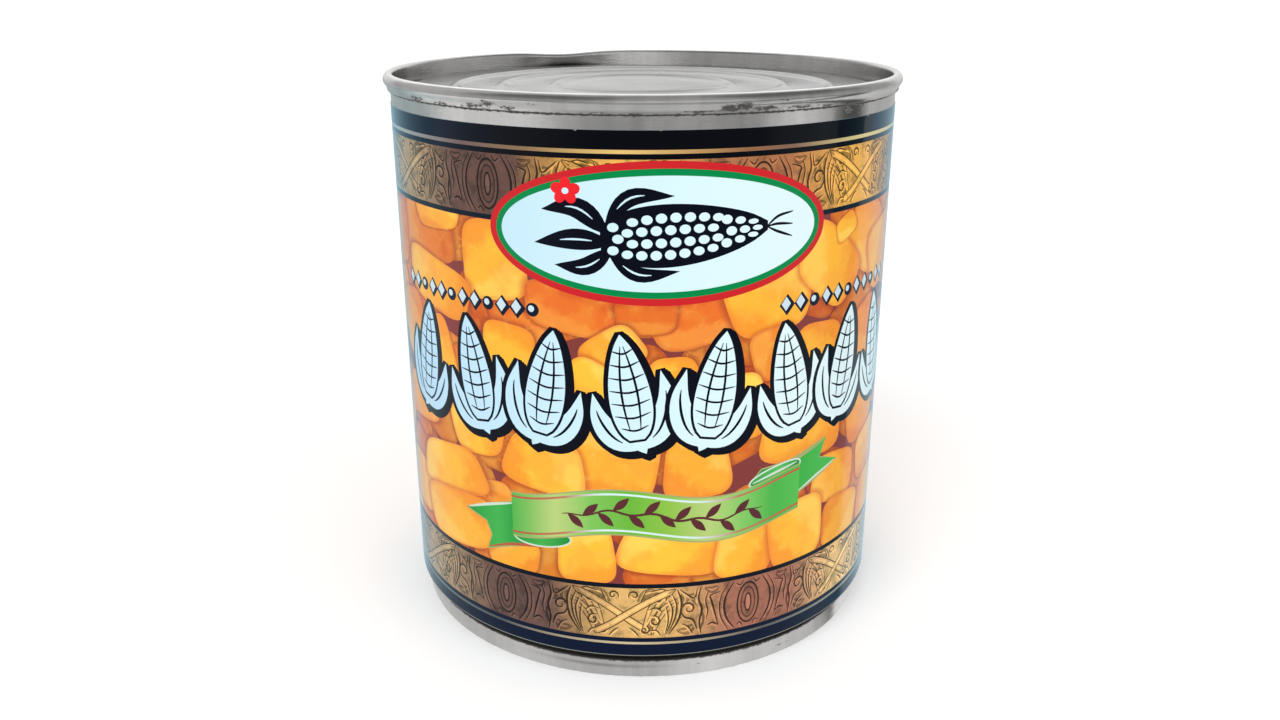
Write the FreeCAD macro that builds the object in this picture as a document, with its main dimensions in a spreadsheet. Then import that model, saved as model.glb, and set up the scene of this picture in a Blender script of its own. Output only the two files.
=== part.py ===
import FreeCAD, Part
import Sketcher
import math
import os

# A shut food can of the 83 mm class: a tinplate body filled to both ends, a seamed top
# end, a necked-in seamed base end that nests into the top of the can below, and a paper
# label wrapped round the body.
# Millimetres, +Z up. The origin is the centre of the ring that the can stands on.

document = FreeCAD.newDocument("sweetcorn_can")
sheet = document.addObject("Spreadsheet::Sheet", "dims")

DIMENSIONS = [
    # alias, value, what it is
    ("can_height", 91.4, "foot to the top of the rim"),
    ("body_radius", 41.5, "outside of the tinplate wall"),
    ("end_sheet", 0.22, "thickness of both end sheets"),
    ("top_seam_height", 2.7, "height of the top double seam"),
    ("top_seam_reach", 1.2, "top seam beyond the wall, at its widest"),
    ("top_skirt_reach", 0.5, "top seam beyond the wall, at its lower edge"),
    ("top_rim_width", 1.6, "top seam across its rim"),
    ("top_wall_slope", 0.35, "chuck wall of the top end runs in by this much"),
    ("top_sink_depth", 4.2, "rim down to the bottom of the countersink"),
    ("top_sink_width", 1.3, "flat bottom of the top countersink"),
    ("top_panel_lift", 1.5, "top panel above its countersink"),
    ("base_seam_height", 3.0, "height of the base double seam"),
    ("base_seam_inset", 1.0, "base seam stands in from the body wall by this much"),
    ("base_seam_reach", 1.0, "base seam beyond the necked wall, at its foot"),
    ("base_skirt_reach", 0.8, "base seam beyond the necked wall, at its upper edge"),
    ("base_rim_width", 1.45, "base seam across its foot"),
    ("base_wall_slope", 0.3, "chuck wall of the base end runs in by this much"),
    ("base_sink_depth", 4.0, "foot up to the bottom of the base countersink"),
    ("base_sink_width", 1.3, "flat bottom of the base countersink"),
    ("base_panel_lift", 1.4, "base panel below its countersink"),
    ("neck_height", 1.6, "shoulder between the body wall and the base seam"),
    ("panel_edge_slope", 0.4, "slope of the panel's edge, both ends"),
    ("label_lift", 0.1, "lower edge of the label above the shoulder"),
    ("bare_band", 2.05, "bare wall between the label and the top seam"),
    ("label_paper", 0.12, "thickness of the label"),
    ("lap_width", 8.0, "glued overlap at the back of the label"),
    ("rim_round", 0.6, "rounding over the rim of both seams"),
    ("skirt_round", 0.2, "rounding at the free edge of both seams"),
    ("sink_round", 0.5, "rounding in both countersinks"),
    ("panel_round", 0.45, "rounding at the edge of both panels"),
    ("bead_margin", 8.0, "outer expansion bead in from the panel's edge"),
    ("outer_bead_pitch", 7.6, "outer bead to middle bead"),
    ("inner_bead_pitch", 8.8, "middle bead to inner bead"),
    ("bead_width", 2.6, "across each bead"),
    ("bead_rise", 0.38, "height of each bead beyond its panel"),
]

for row, (alias, value, meaning) in enumerate(DIMENSIONS, start=1):
    sheet.set(f"A{row}", meaning)
    sheet.set(f"B{row}", str(value))
    sheet.setAlias(f"B{row}", alias)
document.recompute()


def size(expression):
    """The number that an expression over the sheet gives."""
    return float(sheet.evalExpression(expression))


def new_body(label):
    body = document.addObject("PartDesign::Body", label)
    body.Label = label
    body.Placement = FreeCAD.Placement(FreeCAD.Vector(0, 0, 0), FreeCAD.Rotation())
    return body


def new_sketch(body, name, role):
    """A sketch on one of the body's own origin planes."""
    plane = next(each for each in body.Origin.OriginFeatures if each.Role == role)
    sketch = body.newObject("Sketcher::SketchObject", name)
    sketch.AttachmentSupport = [(plane, "")]
    sketch.MapMode = "FlatFace"
    return sketch


def bind(sketch, constraint, name, expression):
    """Adds a named dimension and ties it to the sheet."""
    sketch.renameConstraint(sketch.addConstraint(constraint), name)
    sketch.setExpression(f"Constraints.{name}", expression)


def pin(sketch, curve, name, across, up):
    """Ties the start of a curve to (across, up), both expressions over the sheet."""
    for kind, suffix, axis, expression in (("DistanceX", "across", -2, across), ("DistanceY", "up", -1, up)):
        distance = size(expression)
        if distance == 0:
            sketch.addConstraint(Sketcher.Constraint("PointOnObject", curve, 1, axis))
        else:
            bind(sketch, Sketcher.Constraint(kind, -1, 1, curve, 1, distance), f"{name}_{suffix}", expression)


def revolve_outline(body, name, corners):
    """Turns a closed outline about Z. Each corner is (name, radius, height), as expressions."""
    sketch = new_sketch(body, f"{name}_outline", "XZ_Plane")
    points = [FreeCAD.Vector(size(radius), size(height), 0) for _, radius, height in corners]
    for start, end in zip(points, points[1:] + points[:1]):
        sketch.addGeometry(Part.LineSegment(start, end), False)
    for line in range(len(corners)):
        sketch.addConstraint(Sketcher.Constraint("Coincident", line, 2, (line + 1) % len(corners), 1))
    for line, (corner, radius, height) in enumerate(corners):
        pin(sketch, line, corner, radius, height)
    turned = body.newObject("PartDesign::Revolution", name)
    turned.Profile = sketch
    turned.ReferenceAxis = (sketch, ["V_Axis"])
    turned.Angle = 360
    document.recompute()
    return turned


def round_rings(body, name, feature, rings, radius):
    """Fillets the circular edges at the given (radius, height) places, as expressions."""
    places = [(size(ring_radius), size(height)) for ring_radius, height in rings]
    edges = []
    for number, edge in enumerate(feature.Shape.Edges, start=1):
        if not isinstance(edge.Curve, Part.Circle):
            continue
        for ring_radius, height in places:
            if math.hypot(edge.Curve.Radius - ring_radius, edge.Curve.Center.z - height) < 1e-4:
                edges.append(f"Edge{number}")
    if len(edges) != len(places):
        raise ValueError(f"{name}: found {len(edges)} of {len(places)} edges")
    fillet = body.newObject("PartDesign::Fillet", name)
    fillet.Base = (feature, edges)
    fillet.Radius = size(radius)
    fillet.setExpression("Radius", radius)
    document.recompute()
    return fillet


def add_bead(body, name, end, radius):
    """One pressed ring on an end's panel, an arc in section that stands out from the panel."""
    half = "dims.bead_width / 2"
    rise = "dims.bead_rise"
    crown = f"({half} * {half} + {rise} * {rise}) / (2 * {rise})"
    middle = size(radius)
    panel = size(end.panel)
    left = FreeCAD.Vector(middle - size(half), panel, 0)
    right = FreeCAD.Vector(middle + size(half), panel, 0)
    peak = FreeCAD.Vector(middle, panel + end.outward * size(rise), 0)
    sketch = new_sketch(body, f"{name}_outline", "XZ_Plane")
    sketch.addGeometry(Part.LineSegment(left, right), False)
    sketch.addGeometry(Part.Arc(left, peak, right), False)
    # An arc runs anticlockwise, so a bead that points up starts at its right foot.
    left_end, right_end = (2, 1) if end.outward > 0 else (1, 2)
    sketch.addConstraint(Sketcher.Constraint("Coincident", 1, left_end, 0, 1))
    sketch.addConstraint(Sketcher.Constraint("Coincident", 1, right_end, 0, 2))
    sketch.addConstraint(Sketcher.Constraint("Horizontal", 0))
    pin(sketch, 0, "inner_foot", f"{radius} - {half}", end.panel)
    bind(sketch, Sketcher.Constraint("DistanceX", 0, 1, 0, 2, 2 * size(half)), "width", "dims.bead_width")
    bind(sketch, Sketcher.Constraint("Radius", 1, size(crown)), "crown", crown)
    turned = body.newObject("PartDesign::Revolution", name)
    turned.Profile = sketch
    turned.ReferenceAxis = (sketch, ["V_Axis"])
    turned.Angle = 360
    document.recompute()


class End:
    """The places that a seamed end shares with the wall it closes, as expressions.

    The folded layers of the double seam are one solid ring, so the wall stops at its skirt.
    """

    def __init__(self, side, rim, outward, wall):
        self.outward = outward
        self.away = away = "-" if outward > 0 else "+"
        self.rim = rim
        self.wall = wall
        self.seam = f"{wall} + dims.{side}_seam_reach"
        self.skirt = f"{wall} + dims.{side}_skirt_reach"
        self.chuck_top = f"{self.seam} - dims.{side}_rim_width"
        self.chuck_foot = f"{self.chuck_top} - dims.{side}_wall_slope"
        self.panel_foot = f"{self.chuck_foot} - dims.{side}_sink_width"
        self.panel_edge = f"{self.panel_foot} - dims.panel_edge_slope"
        below_seam = f"(dims.{side}_sink_depth - dims.{side}_seam_height) / dims.{side}_sink_depth"
        chuck_at_skirt = f"{self.chuck_foot} + dims.{side}_wall_slope * {below_seam}"
        self.wall_inside = f"{chuck_at_skirt} + dims.end_sheet"
        self.skirt_edge = f"{rim} {away} dims.{side}_seam_height"
        self.sink = f"{rim} {away} dims.{side}_sink_depth"
        self.panel = f"{rim} {away} (dims.{side}_sink_depth - dims.{side}_panel_lift)"
        self.outer_bead = f"{self.panel_edge} - dims.bead_margin"
        self.middle_bead = f"{self.outer_bead} - dims.outer_bead_pitch"
        self.inner_bead = f"{self.middle_bead} - dims.inner_bead_pitch"

    def inward(self, height):
        """A height moved into the can by the sheet's thickness."""
        return f"{height} {self.away} dims.end_sheet"

    def hidden_corners(self):
        """The face that the sheet shares with the can's wall and contents, from the axis out."""
        return [
            ("under_centre", "0", self.inward(self.panel)),
            ("under_panel", f"{self.panel_edge} - dims.end_sheet", self.inward(self.panel)),
            ("under_step", f"{self.panel_foot} - dims.end_sheet", self.inward(self.sink)),
            ("under_sink", f"{self.chuck_foot} + dims.end_sheet", self.inward(self.sink)),
            ("wall_inside", self.wall_inside, self.skirt_edge),
            ("wall_outside", self.wall, self.skirt_edge),
        ]

    def shown_corners(self):
        """The face that shows, from the skirt's edge in to the axis."""
        return [
            ("skirt", self.skirt, self.skirt_edge),
            ("rim_outside", self.seam, self.rim),
            ("rim_inside", self.chuck_top, self.rim),
            ("chuck_foot", self.chuck_foot, self.sink),
            ("panel_foot", self.panel_foot, self.sink),
            ("panel_edge", self.panel_edge, self.panel),
            ("centre", "0", self.panel),
        ]


top = End("top", "dims.can_height", 1, "dims.body_radius")
NECK_RADIUS = "dims.body_radius - dims.base_seam_inset - dims.base_seam_reach"
base = End("base", "0", -1, NECK_RADIUS)
SHOULDER = f"{base.skirt_edge} + dims.neck_height"
LABEL_FOOT = f"{SHOULDER} + dims.label_lift"
LABEL_TOP = f"{top.skirt_edge} - dims.bare_band"


def build_end(label, end):
    body = new_body(label)
    pressed = revolve_outline(body, f"{label}_sheet", end.hidden_corners() + end.shown_corners())
    rims = [(end.seam, end.rim), (end.chuck_top, end.rim)]
    rimmed = round_rings(body, f"{label}_rim", pressed, rims, "dims.rim_round")
    skirted = round_rings(body, f"{label}_skirt", rimmed, [(end.skirt, end.skirt_edge)], "dims.skirt_round")
    sinks = [(end.chuck_foot, end.sink), (end.panel_foot, end.sink)]
    sunk = round_rings(body, f"{label}_sink", skirted, sinks, "dims.sink_round")
    round_rings(body, f"{label}_panel", sunk, [(end.panel_edge, end.panel)], "dims.panel_round")
    add_bead(body, f"{label}_outer_bead", end, end.outer_bead)
    add_bead(body, f"{label}_middle_bead", end, end.middle_bead)
    add_bead(body, f"{label}_inner_bead", end, end.inner_bead)
    return body


def build_can_body():
    """The tinplate wall and what fills it, as one solid between the two ends."""
    body = new_body("can_body")
    lower = [(f"base_{name}", radius, height) for name, radius, height in base.hidden_corners()]
    upper = [(f"top_{name}", radius, height) for name, radius, height in top.hidden_corners()]
    shoulder = [("shoulder", "dims.body_radius", SHOULDER)]
    revolve_outline(body, "can_wall", lower + shoulder + upper[::-1])
    return body


def build_label():
    """The paper sleeve and, at the back, its glued overlap one sheet thicker."""
    body = new_body("paper_label")
    outside = "dims.body_radius + dims.label_paper"
    sleeve = [
        ("foot_inside", "dims.body_radius", LABEL_FOOT),
        ("foot_outside", outside, LABEL_FOOT),
        ("top_outside", outside, LABEL_TOP),
        ("top_inside", "dims.body_radius", LABEL_TOP),
    ]
    revolve_outline(body, "sleeve", sleeve)
    add_lap(body, outside)
    return body


def add_lap(body, outside):
    """The overlap: a strip bent round the back of the sleeve, half sunk in it below."""
    radii = [f"{outside} - dims.label_paper / 2", f"{outside} + dims.label_paper"]
    half_turn = size(f"dims.lap_width / 2 / ({outside})")
    start = math.pi / 2 - half_turn
    end = math.pi / 2 + half_turn
    sketch = new_sketch(body, "lap_outline", "XY_Plane")
    sketch.setExpression("AttachmentOffset.Base.z", LABEL_FOOT)
    for radius in radii:
        circle = Part.Circle(FreeCAD.Vector(0, 0, 0), FreeCAD.Vector(0, 0, 1), size(radius))
        sketch.addGeometry(Part.ArcOfCircle(circle, start, end), False)
    for angle in (start, end):
        outward = FreeCAD.Vector(math.cos(angle), math.sin(angle), 0)
        sketch.addGeometry(Part.LineSegment(outward * size(radii[0]), outward * size(radii[1])), False)
    for arc, radius in enumerate(radii):
        sketch.addConstraint(Sketcher.Constraint("Coincident", arc, 3, -1, 1))
        bind(sketch, Sketcher.Constraint("Radius", arc, size(radius)), f"radius_{arc}", radius)
        for side, line in ((1, 2), (2, 3)):
            sketch.addConstraint(Sketcher.Constraint("Coincident", line, arc + 1, arc, side))
    for line in (2, 3):
        sketch.addConstraint(Sketcher.Constraint("PointOnObject", -1, 1, line))
    sketch.addConstraint(Sketcher.Constraint("Symmetric", 1, 1, 1, 2, -2))
    chord = f"2 * ({radii[1]}) * sin(dims.lap_width / 2 / ({outside}) * 1rad)"
    bind(sketch, Sketcher.Constraint("DistanceX", 1, 2, 1, 1, size(chord)), "chord", chord)
    strip = body.newObject("PartDesign::Pad", "lap")
    strip.Profile = sketch
    label_height = f"({LABEL_TOP}) - ({LABEL_FOOT})"
    strip.Length = size(label_height)
    strip.setExpression("Length", label_height)
    document.recompute()


parts = [build_can_body(), build_end("top_end", top), build_end("bottom_end", base), build_label()]
document.recompute()

for each in document.Objects:
    if "Invalid" in each.State or "Error" in each.State:
        raise RuntimeError(f"{each.Label}: {each.State}")
for part in parts:
    if part.Shape.isNull() or not part.Shape.isValid():
        raise RuntimeError(f"{part.Label}: shape is null or not valid")

os.makedirs("parts", exist_ok=True)
for part in parts:
    part.Shape.exportStep(f"parts/{part.Label}.step")
    print(part.Label, f"{part.Shape.Volume:.1f} mm3", len(part.Shape.Solids), part.Shape.BoundBox)
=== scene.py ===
import math
import random

import bpy
import numpy as np
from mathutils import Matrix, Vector
from mathutils.geometry import delaunay_2d_cdt


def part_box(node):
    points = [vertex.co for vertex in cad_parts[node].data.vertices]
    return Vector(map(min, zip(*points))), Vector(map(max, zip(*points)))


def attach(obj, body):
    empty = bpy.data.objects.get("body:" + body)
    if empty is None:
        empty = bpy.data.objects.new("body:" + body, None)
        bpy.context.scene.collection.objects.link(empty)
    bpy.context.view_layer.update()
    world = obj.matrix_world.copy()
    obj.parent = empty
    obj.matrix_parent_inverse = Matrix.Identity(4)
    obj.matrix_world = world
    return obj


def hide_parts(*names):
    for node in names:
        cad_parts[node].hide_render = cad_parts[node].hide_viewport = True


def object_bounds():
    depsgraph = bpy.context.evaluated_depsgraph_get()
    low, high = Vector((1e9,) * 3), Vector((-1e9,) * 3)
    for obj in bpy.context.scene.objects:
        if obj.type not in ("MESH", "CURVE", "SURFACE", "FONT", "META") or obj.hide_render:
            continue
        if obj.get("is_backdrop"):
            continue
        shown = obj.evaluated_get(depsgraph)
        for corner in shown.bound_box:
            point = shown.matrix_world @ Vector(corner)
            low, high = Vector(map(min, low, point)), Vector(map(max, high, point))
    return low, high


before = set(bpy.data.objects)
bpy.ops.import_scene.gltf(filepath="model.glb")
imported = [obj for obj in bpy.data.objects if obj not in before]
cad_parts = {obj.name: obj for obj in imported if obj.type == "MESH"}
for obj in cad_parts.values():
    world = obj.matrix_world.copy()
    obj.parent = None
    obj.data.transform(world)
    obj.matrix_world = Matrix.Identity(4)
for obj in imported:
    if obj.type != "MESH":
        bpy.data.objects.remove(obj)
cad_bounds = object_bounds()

# The frame is in metres. This script thinks in millimetres and converts when it makes a mesh.
MM = 0.001
TURN = 2 * math.pi


def extent(node):
    """A CAD node's lowest and highest corner, in millimetres."""
    low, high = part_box(node)
    return low / MM, high / MM


# ---------------------------------------------------------------------------------------
# Sizes, from the CAD nodes and a few named values of the real can
# ---------------------------------------------------------------------------------------
CAN_RADIUS = extent("can_body")[1].x
RIM_HEIGHT = extent("top_end")[1].z
LABEL_FOOT = extent("paper_label")[0].z
LABEL_TOP = extent("paper_label")[1].z
PAPER = 0.12
LABEL_RADIUS = CAN_RADIUS + PAPER
LAP = 8.0

SEAM_HEIGHT = 2.7
SEAM_RADIUS = CAN_RADIUS + 1.05
SKIRT_RADIUS = CAN_RADIUS + 0.5
CHUCK_TOP = CAN_RADIUS - 0.4
CHUCK_FOOT = CHUCK_TOP - 0.35
SINK_DEPTH = 4.2
SINK_WIDTH = 1.3
PANEL_DEPTH = 2.7
PANEL_EDGE = CHUCK_FOOT - SINK_WIDTH - 0.4

BASE_SEAM_HEIGHT = 3.0
BASE_SEAM_RADIUS = CAN_RADIUS - 1.0
NECK_RADIUS = CAN_RADIUS - 2.0
NECK_HEIGHT = 1.6
BASE_CHUCK_TOP = BASE_SEAM_RADIUS - 1.45
BASE_CHUCK_FOOT = BASE_CHUCK_TOP - 0.3
BASE_SINK_DEPTH = 4.0
BASE_PANEL_DEPTH = 2.6
BASE_PANEL_EDGE = BASE_CHUCK_FOOT - SINK_WIDTH - 0.4

BEAD_INSETS = (8.0, 15.6, 24.4)
BEAD_HALF_WIDTH = 1.3
BEAD_RISE = 0.38
# The longest step of a seam's outline
FINE_STEP = 0.16


# ---------------------------------------------------------------------------------------
# Colour and shader helpers. A tuple of three is a display colour, 0 to 255
# ---------------------------------------------------------------------------------------
def linear(colour):
    """A display colour as linear light."""
    shown = np.array(colour) / 255
    return np.where(shown <= 0.04045, shown / 12.92, ((shown + 0.055) / 1.055) ** 2.4)


class Value:
    """A value in a node tree, on which +, - and * make math nodes."""

    def __init__(self, graph, socket):
        self.graph = graph
        self.socket = socket

    def __add__(self, other):
        return self.graph.math("ADD", self, other)

    def __sub__(self, other):
        return self.graph.math("SUBTRACT", self, other)

    def __rsub__(self, other):
        return self.graph.math("SUBTRACT", other, self)

    def __mul__(self, other):
        return self.graph.math("MULTIPLY", self, other)

    def __neg__(self):
        return self * -1.0

    __radd__ = __add__
    __rmul__ = __mul__


class Graph:
    """Short forms for building a node tree."""

    def __init__(self, tree):
        self.tree = tree
        tree.nodes.clear()

    def node(self, kind, values=(), **settings):
        """A new node, with its settings made and its inputs fed."""
        made = self.tree.nodes.new(kind)
        for key, value in settings.items():
            setattr(made, key, value)
        self.feed(made, dict(values))
        return made

    def feed(self, node, values):
        """Gives inputs, by name or number, a link, a number or a display colour."""
        for key, value in values.items():
            if isinstance(value, Value):
                self.tree.links.new(value.socket, node.inputs[key])
            elif isinstance(value, tuple):
                node.inputs[key].default_value = (*linear(value), 1.0)
            else:
                node.inputs[key].default_value = value

    def value(self, kind, values=(), output=0, **settings):
        """One output of a new node."""
        return Value(self, self.node(kind, values, **settings).outputs[output])

    def math(self, operation, *values):
        return self.value("ShaderNodeMath", enumerate(values), operation=operation)

    def smooth(self, value, low, high):
        """0 at low, 1 at high, and smooth between them."""
        ends = enumerate((value, low, high, 0.0, 1.0))
        return self.value("ShaderNodeMapRange", ends, interpolation_type="SMOOTHSTEP")

    def spread(self, value, low, high):
        """A 0 to 1 value moved to the range low to high."""
        return self.value("ShaderNodeMapRange", enumerate((value, 0.0, 1.0, low, high)))

    def mix(self, factor, below, above, blend="MIX"):
        values = {0: factor, 6: below, 7: above}
        return self.value("ShaderNodeMix", values, 2, data_type="RGBA", blend_type=blend, clamp_factor=True)

    def scaled(self, colour, red, green, blue):
        """A colour with each of its parts multiplied."""
        return self.mix(1.0, colour, self.vector(red, green, blue), "MULTIPLY")

    def noise(self, vector, scale, detail, roughness):
        values = {"Vector": vector, "Scale": scale, "Detail": detail, "Roughness": roughness}
        return self.value("ShaderNodeTexNoise", values, "Fac")

    def attribute(self, name, output="Vector"):
        return self.value("ShaderNodeAttribute", (), output, attribute_name=name)

    def parts(self, vector):
        node = self.node("ShaderNodeSeparateXYZ", {0: vector})
        return [Value(self, output) for output in node.outputs]

    def vector(self, x, y, z):
        return self.value("ShaderNodeCombineXYZ", enumerate((x, y, z)))

    def bump(self, height, distance, strength):
        values = {"Strength": strength, "Distance": distance, "Height": height}
        return self.value("ShaderNodeBump", values, "Normal")

    def blended(self, factor, first, second):
        """One shader or the other, by a factor."""
        return self.value("ShaderNodeMixShader", enumerate((factor, first, second)))


def principled(name):
    """A new material, its graph and its shader, joined to the output."""
    material = bpy.data.materials.new(name)
    material.use_nodes = True
    graph = Graph(material.node_tree)
    shader = graph.node("ShaderNodeBsdfPrincipled")
    graph.node("ShaderNodeOutputMaterial", {"Surface": Value(graph, shader.outputs[0])})
    return material, graph, shader


# ---------------------------------------------------------------------------------------
# Tinplate
# ---------------------------------------------------------------------------------------
def tinplate(name, tone=1.0):
    """Satin tinplate: rolling lines, cloudy and streaked brightness, and the dirt, painted shade and painted
    light marked on its mesh.
    """
    material, graph, shader = principled(name)
    place = graph.value("ShaderNodeTexCoord", (), "Object")
    x, y, z = graph.parts(place)
    arc = graph.math("ARCTAN2", y, x) * (CAN_RADIUS * MM)
    radius = graph.math("SQRT", x * x + y * y)
    dirt_and_shade_marks, painted_light_and_shade, _ = graph.parts(graph.attribute("dirt_and_painted_light"))
    lines = graph.noise(graph.vector(arc * 0.1, radius, z), 5200.0, 2.0, 0.6)
    round_grain = graph.vector(arc, radius * 0.15, z * 0.15)
    panel_grain = graph.vector(x * 0.12, y, 0.0)
    off_panel = graph.smooth(radius, (BASE_PANEL_EDGE - 0.6) * MM, BASE_PANEL_EDGE * MM)
    streaks = graph.noise(graph.mix(off_panel, panel_grain, round_grain), 420.0, 3.0, 0.6)
    clouds = graph.noise(place, 70.0, 4.0, 0.55)
    smears = graph.noise(graph.vector(arc, radius * 2.2, z * 2.2), 1300.0, 4.0, 0.72)

    # Dirt from the marks, and painted shade in the seam's shadow line and in the crevices
    dirt_and_painted_shade = graph.smooth(dirt_and_shade_marks + (smears - 0.5) * 1.9, 0.40, 0.80)
    # Marks above 1.05 are painted shade: crevices painted near black
    painted_crevice_shade = graph.smooth(dirt_and_shade_marks, 1.05, 1.3)
    clean = graph.mix(clouds, (180, 179, 178), (216, 215, 213))
    clean = graph.mix(graph.spread(lines, 0.0, 0.22), clean, (150, 150, 149))
    # Brightness: painted highlights, painted reflections and painted shade from the marks, with random
    # streaks
    shade = (painted_light_and_shade + graph.spread(streaks, 0.82, 1.18)) * tone
    soil_and_painted_shade = graph.mix(painted_crevice_shade, (60, 56, 54), (3, 3, 4))
    cover = graph.math("MAXIMUM", dirt_and_painted_shade * 0.9, painted_crevice_shade)
    looks = {
        "Base Color": graph.mix(cover, graph.scaled(clean, shade, shade, shade), soil_and_painted_shade),
        "Metallic": graph.spread(dirt_and_painted_shade * (1.0 - painted_crevice_shade), 1.0, 0.3),
        "Roughness": graph.spread(clouds, 0.12, 0.26) + dirt_and_painted_shade * 0.4,
        "Normal": graph.bump(lines * 0.25 + clouds * 2.2 + smears * 0.12, 0.0001, 0.5),
    }
    graph.feed(shader, looks)
    return material


def rounded(corners, steps=7):
    """An outline through (radius, height, rounding) corners, each rounded by an arc."""
    outline = []
    for index, (r, z, rounding) in enumerate(corners):
        if rounding == 0 or index in (0, len(corners) - 1):
            outline.append((r, z))
            continue
        here = Vector((r, z))
        back = (Vector(corners[index - 1][:2]) - here).normalized()
        on = (Vector(corners[index + 1][:2]) - here).normalized()
        half = back.angle(on) / 2
        reach = rounding / math.tan(half)
        middle = here + (back + on).normalized() * (rounding / math.sin(half))
        start = here + back * reach - middle
        sweep = start.angle_signed(here + on * reach - middle)
        for step in range(steps + 1):
            turn = -sweep * step / steps
            cosine, sine = math.cos(turn), math.sin(turn)
            point = middle + Vector((start.x * cosine - start.y * sine, start.x * sine + start.y * cosine))
            outline.append((point.x, point.y))
    return outline


def beaded_panel(edge, height, outward, steps=10):
    """A panel's face from its edge in to the axis, with its pressed beads."""
    outline = []
    for inset in BEAD_INSETS:
        for step in range(steps + 1):
            across = 1 - 2 * step / steps
            rise = BEAD_RISE * (0.5 + 0.5 * math.cos(math.pi * across))
            outline.append((edge - inset + across * BEAD_HALF_WIDTH, height + outward * rise))
    last = edge - BEAD_INSETS[-1]
    return outline + [(last - 6.0, height), (last - 10.0, height), (0.0, height)]


def refined(outline, spacing):
    """An open outline with no step longer than spacing."""
    steps = [outline[0]]
    for (r, z), (next_r, next_z) in zip(outline, outline[1:]):
        parts = max(math.ceil(math.hypot(next_r - r, next_z - z) / spacing), 1)
        for part in range(1, parts + 1):
            steps.append((r + (next_r - r) * part / parts, z + (next_z - z) * part / parts))
    return steps


def linked(name, data):
    """A new object in the scene for a mesh, a lamp or a camera."""
    made = bpy.data.objects.new(name, data)
    bpy.context.scene.collection.objects.link(made)
    return made


def lathe(name, outline, material, warp, dirt_and_painted_light, segments=480):
    """Turns an outline of (radius, height) about Z. An outline that ends at radius 0 closes there."""
    closed = outline[-1][0] == 0
    rings = outline[:-1] if closed else outline
    vertices = []
    for r, z in rings:
        for step in range(segments):
            angle = TURN * step / segments
            out, up = warp(angle, r, z) if warp else (0.0, 0.0)
            vertices.append(((r + out) * math.sin(angle), -(r + out) * math.cos(angle), z + up))
    faces = []
    for ring in range(len(rings) - 1):
        low, high = ring * segments, (ring + 1) * segments
        for step in range(segments):
            ahead = (step + 1) % segments
            faces.append((low + step, low + ahead, high + ahead, high + step))
    if closed:
        vertices.append((0.0, 0.0, outline[-1][1]))
        last = (len(rings) - 1) * segments
        for step in range(segments):
            faces.append((last + step, last + (step + 1) % segments, len(vertices) - 1))
    mesh = bpy.data.meshes.new(name)
    mesh.from_pydata([Vector(vertex) * MM for vertex in vertices], [], faces)
    mesh.shade_smooth()
    mesh.materials.append(material)
    # Each vertex keeps its dirt and painted shade, then its painted light and shade
    painted = mesh.attributes.new("dirt_and_painted_light", "FLOAT_VECTOR", "POINT")
    for index, (x, y, z) in enumerate(vertices):
        dirt_and_painted_shade, shade = dirt_and_painted_light(math.atan2(x, -y), math.hypot(x, y), z)
        painted.data[index].vector = (dirt_and_painted_shade, shade, 0.0)
    return linked(name, mesh)


def bell(value, middle, width):
    return math.exp(-(((value - middle) / width) ** 2))


def facing(angle, middle, width):
    """A bell round the can. The angle is in radians, and its middle and width in degrees."""
    away = (angle - math.radians(middle) + math.pi) % TURN - math.pi
    return bell(away, 0, math.radians(width))


# Dents, dirt and painted light and shade, by the angle from the front in degrees, anticlockwise as seen from
# above
DENT_ANGLE = 180 + 23
DENT_WIDTH = 10
DENT_DEPTH = 0.75
BULGE_ANGLE = 180 - 3
BULGE_WIDTH = 7


def rim_warp(angle, r, z):
    """The knocked rim at the back of the lid, and the lid's slight unevenness."""
    lifted = min(max((z - (RIM_HEIGHT - 3.6)) / 3.0, 0.0), 1.0) if r > PANEL_EDGE + 1.2 else 0.0
    dent = lifted * facing(angle, DENT_ANGLE, DENT_WIDTH)
    bulge = lifted * facing(angle, BULGE_ANGLE, BULGE_WIDTH)
    sway = 0.05 * math.sin(3 * angle + 0.7) + 0.03 * math.sin(7 * angle + 2.0)
    oil = 0.09 * math.sin(2 * angle + r * 0.08) * math.sin(r * 0.11) if r < PANEL_EDGE else 0.0
    return lifted * sway * 0.6 - DENT_DEPTH * dent + 0.1 * bulge, oil - 0.5 * dent


SMUDGES = (
    # angle, depth below the rim, half width in degrees, half height, strength
    (-52, 2.30, 4.2, 0.50, 0.80),
    (-43, 2.45, 4.0, 0.36, 0.70),
    (-34, 2.20, 3.6, 0.46, 0.86),
    (-30, 1.80, 2.2, 0.62, 0.84),
    (-26, 2.25, 3.0, 0.44, 0.82),
    (-20.5, 1.55, 1.8, 0.26, 0.62),
    (-9, 2.45, 5.0, 0.24, 0.60),
    (-1.5, 2.55, 2.5, 0.24, 0.80),
    (10.5, 2.32, 5.0, 0.16, 0.95),
    (16, 2.00, 2.4, 0.70, 1.04),
    (18.8, 1.75, 2.6, 0.66, 1.02),
    (23.5, 2.15, 4.0, 0.38, 0.92),
    (27, 1.10, 2.2, 0.34, 0.60),
    (31, 2.25, 4.0, 0.40, 0.84),
    (38.5, 2.40, 4.0, 0.26, 0.80),
    (50.5, 3.20, 0.5, 0.80, 1.04),
    (45.5, 3.60, 1.8, 0.60, 0.74),
    (73, 2.40, 6.0, 0.36, 0.80),
    (101, 2.20, 4.0, 0.50, 0.86),
    (128, 2.45, 7.0, 0.32, 0.74),
    (163, 2.35, 5.0, 0.44, 0.82),
    (-152, 2.40, 8.0, 0.34, 0.78),
    (-118, 2.15, 3.5, 0.55, 0.86),
    (-84, 2.45, 7.0, 0.30, 0.78),
)
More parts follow.
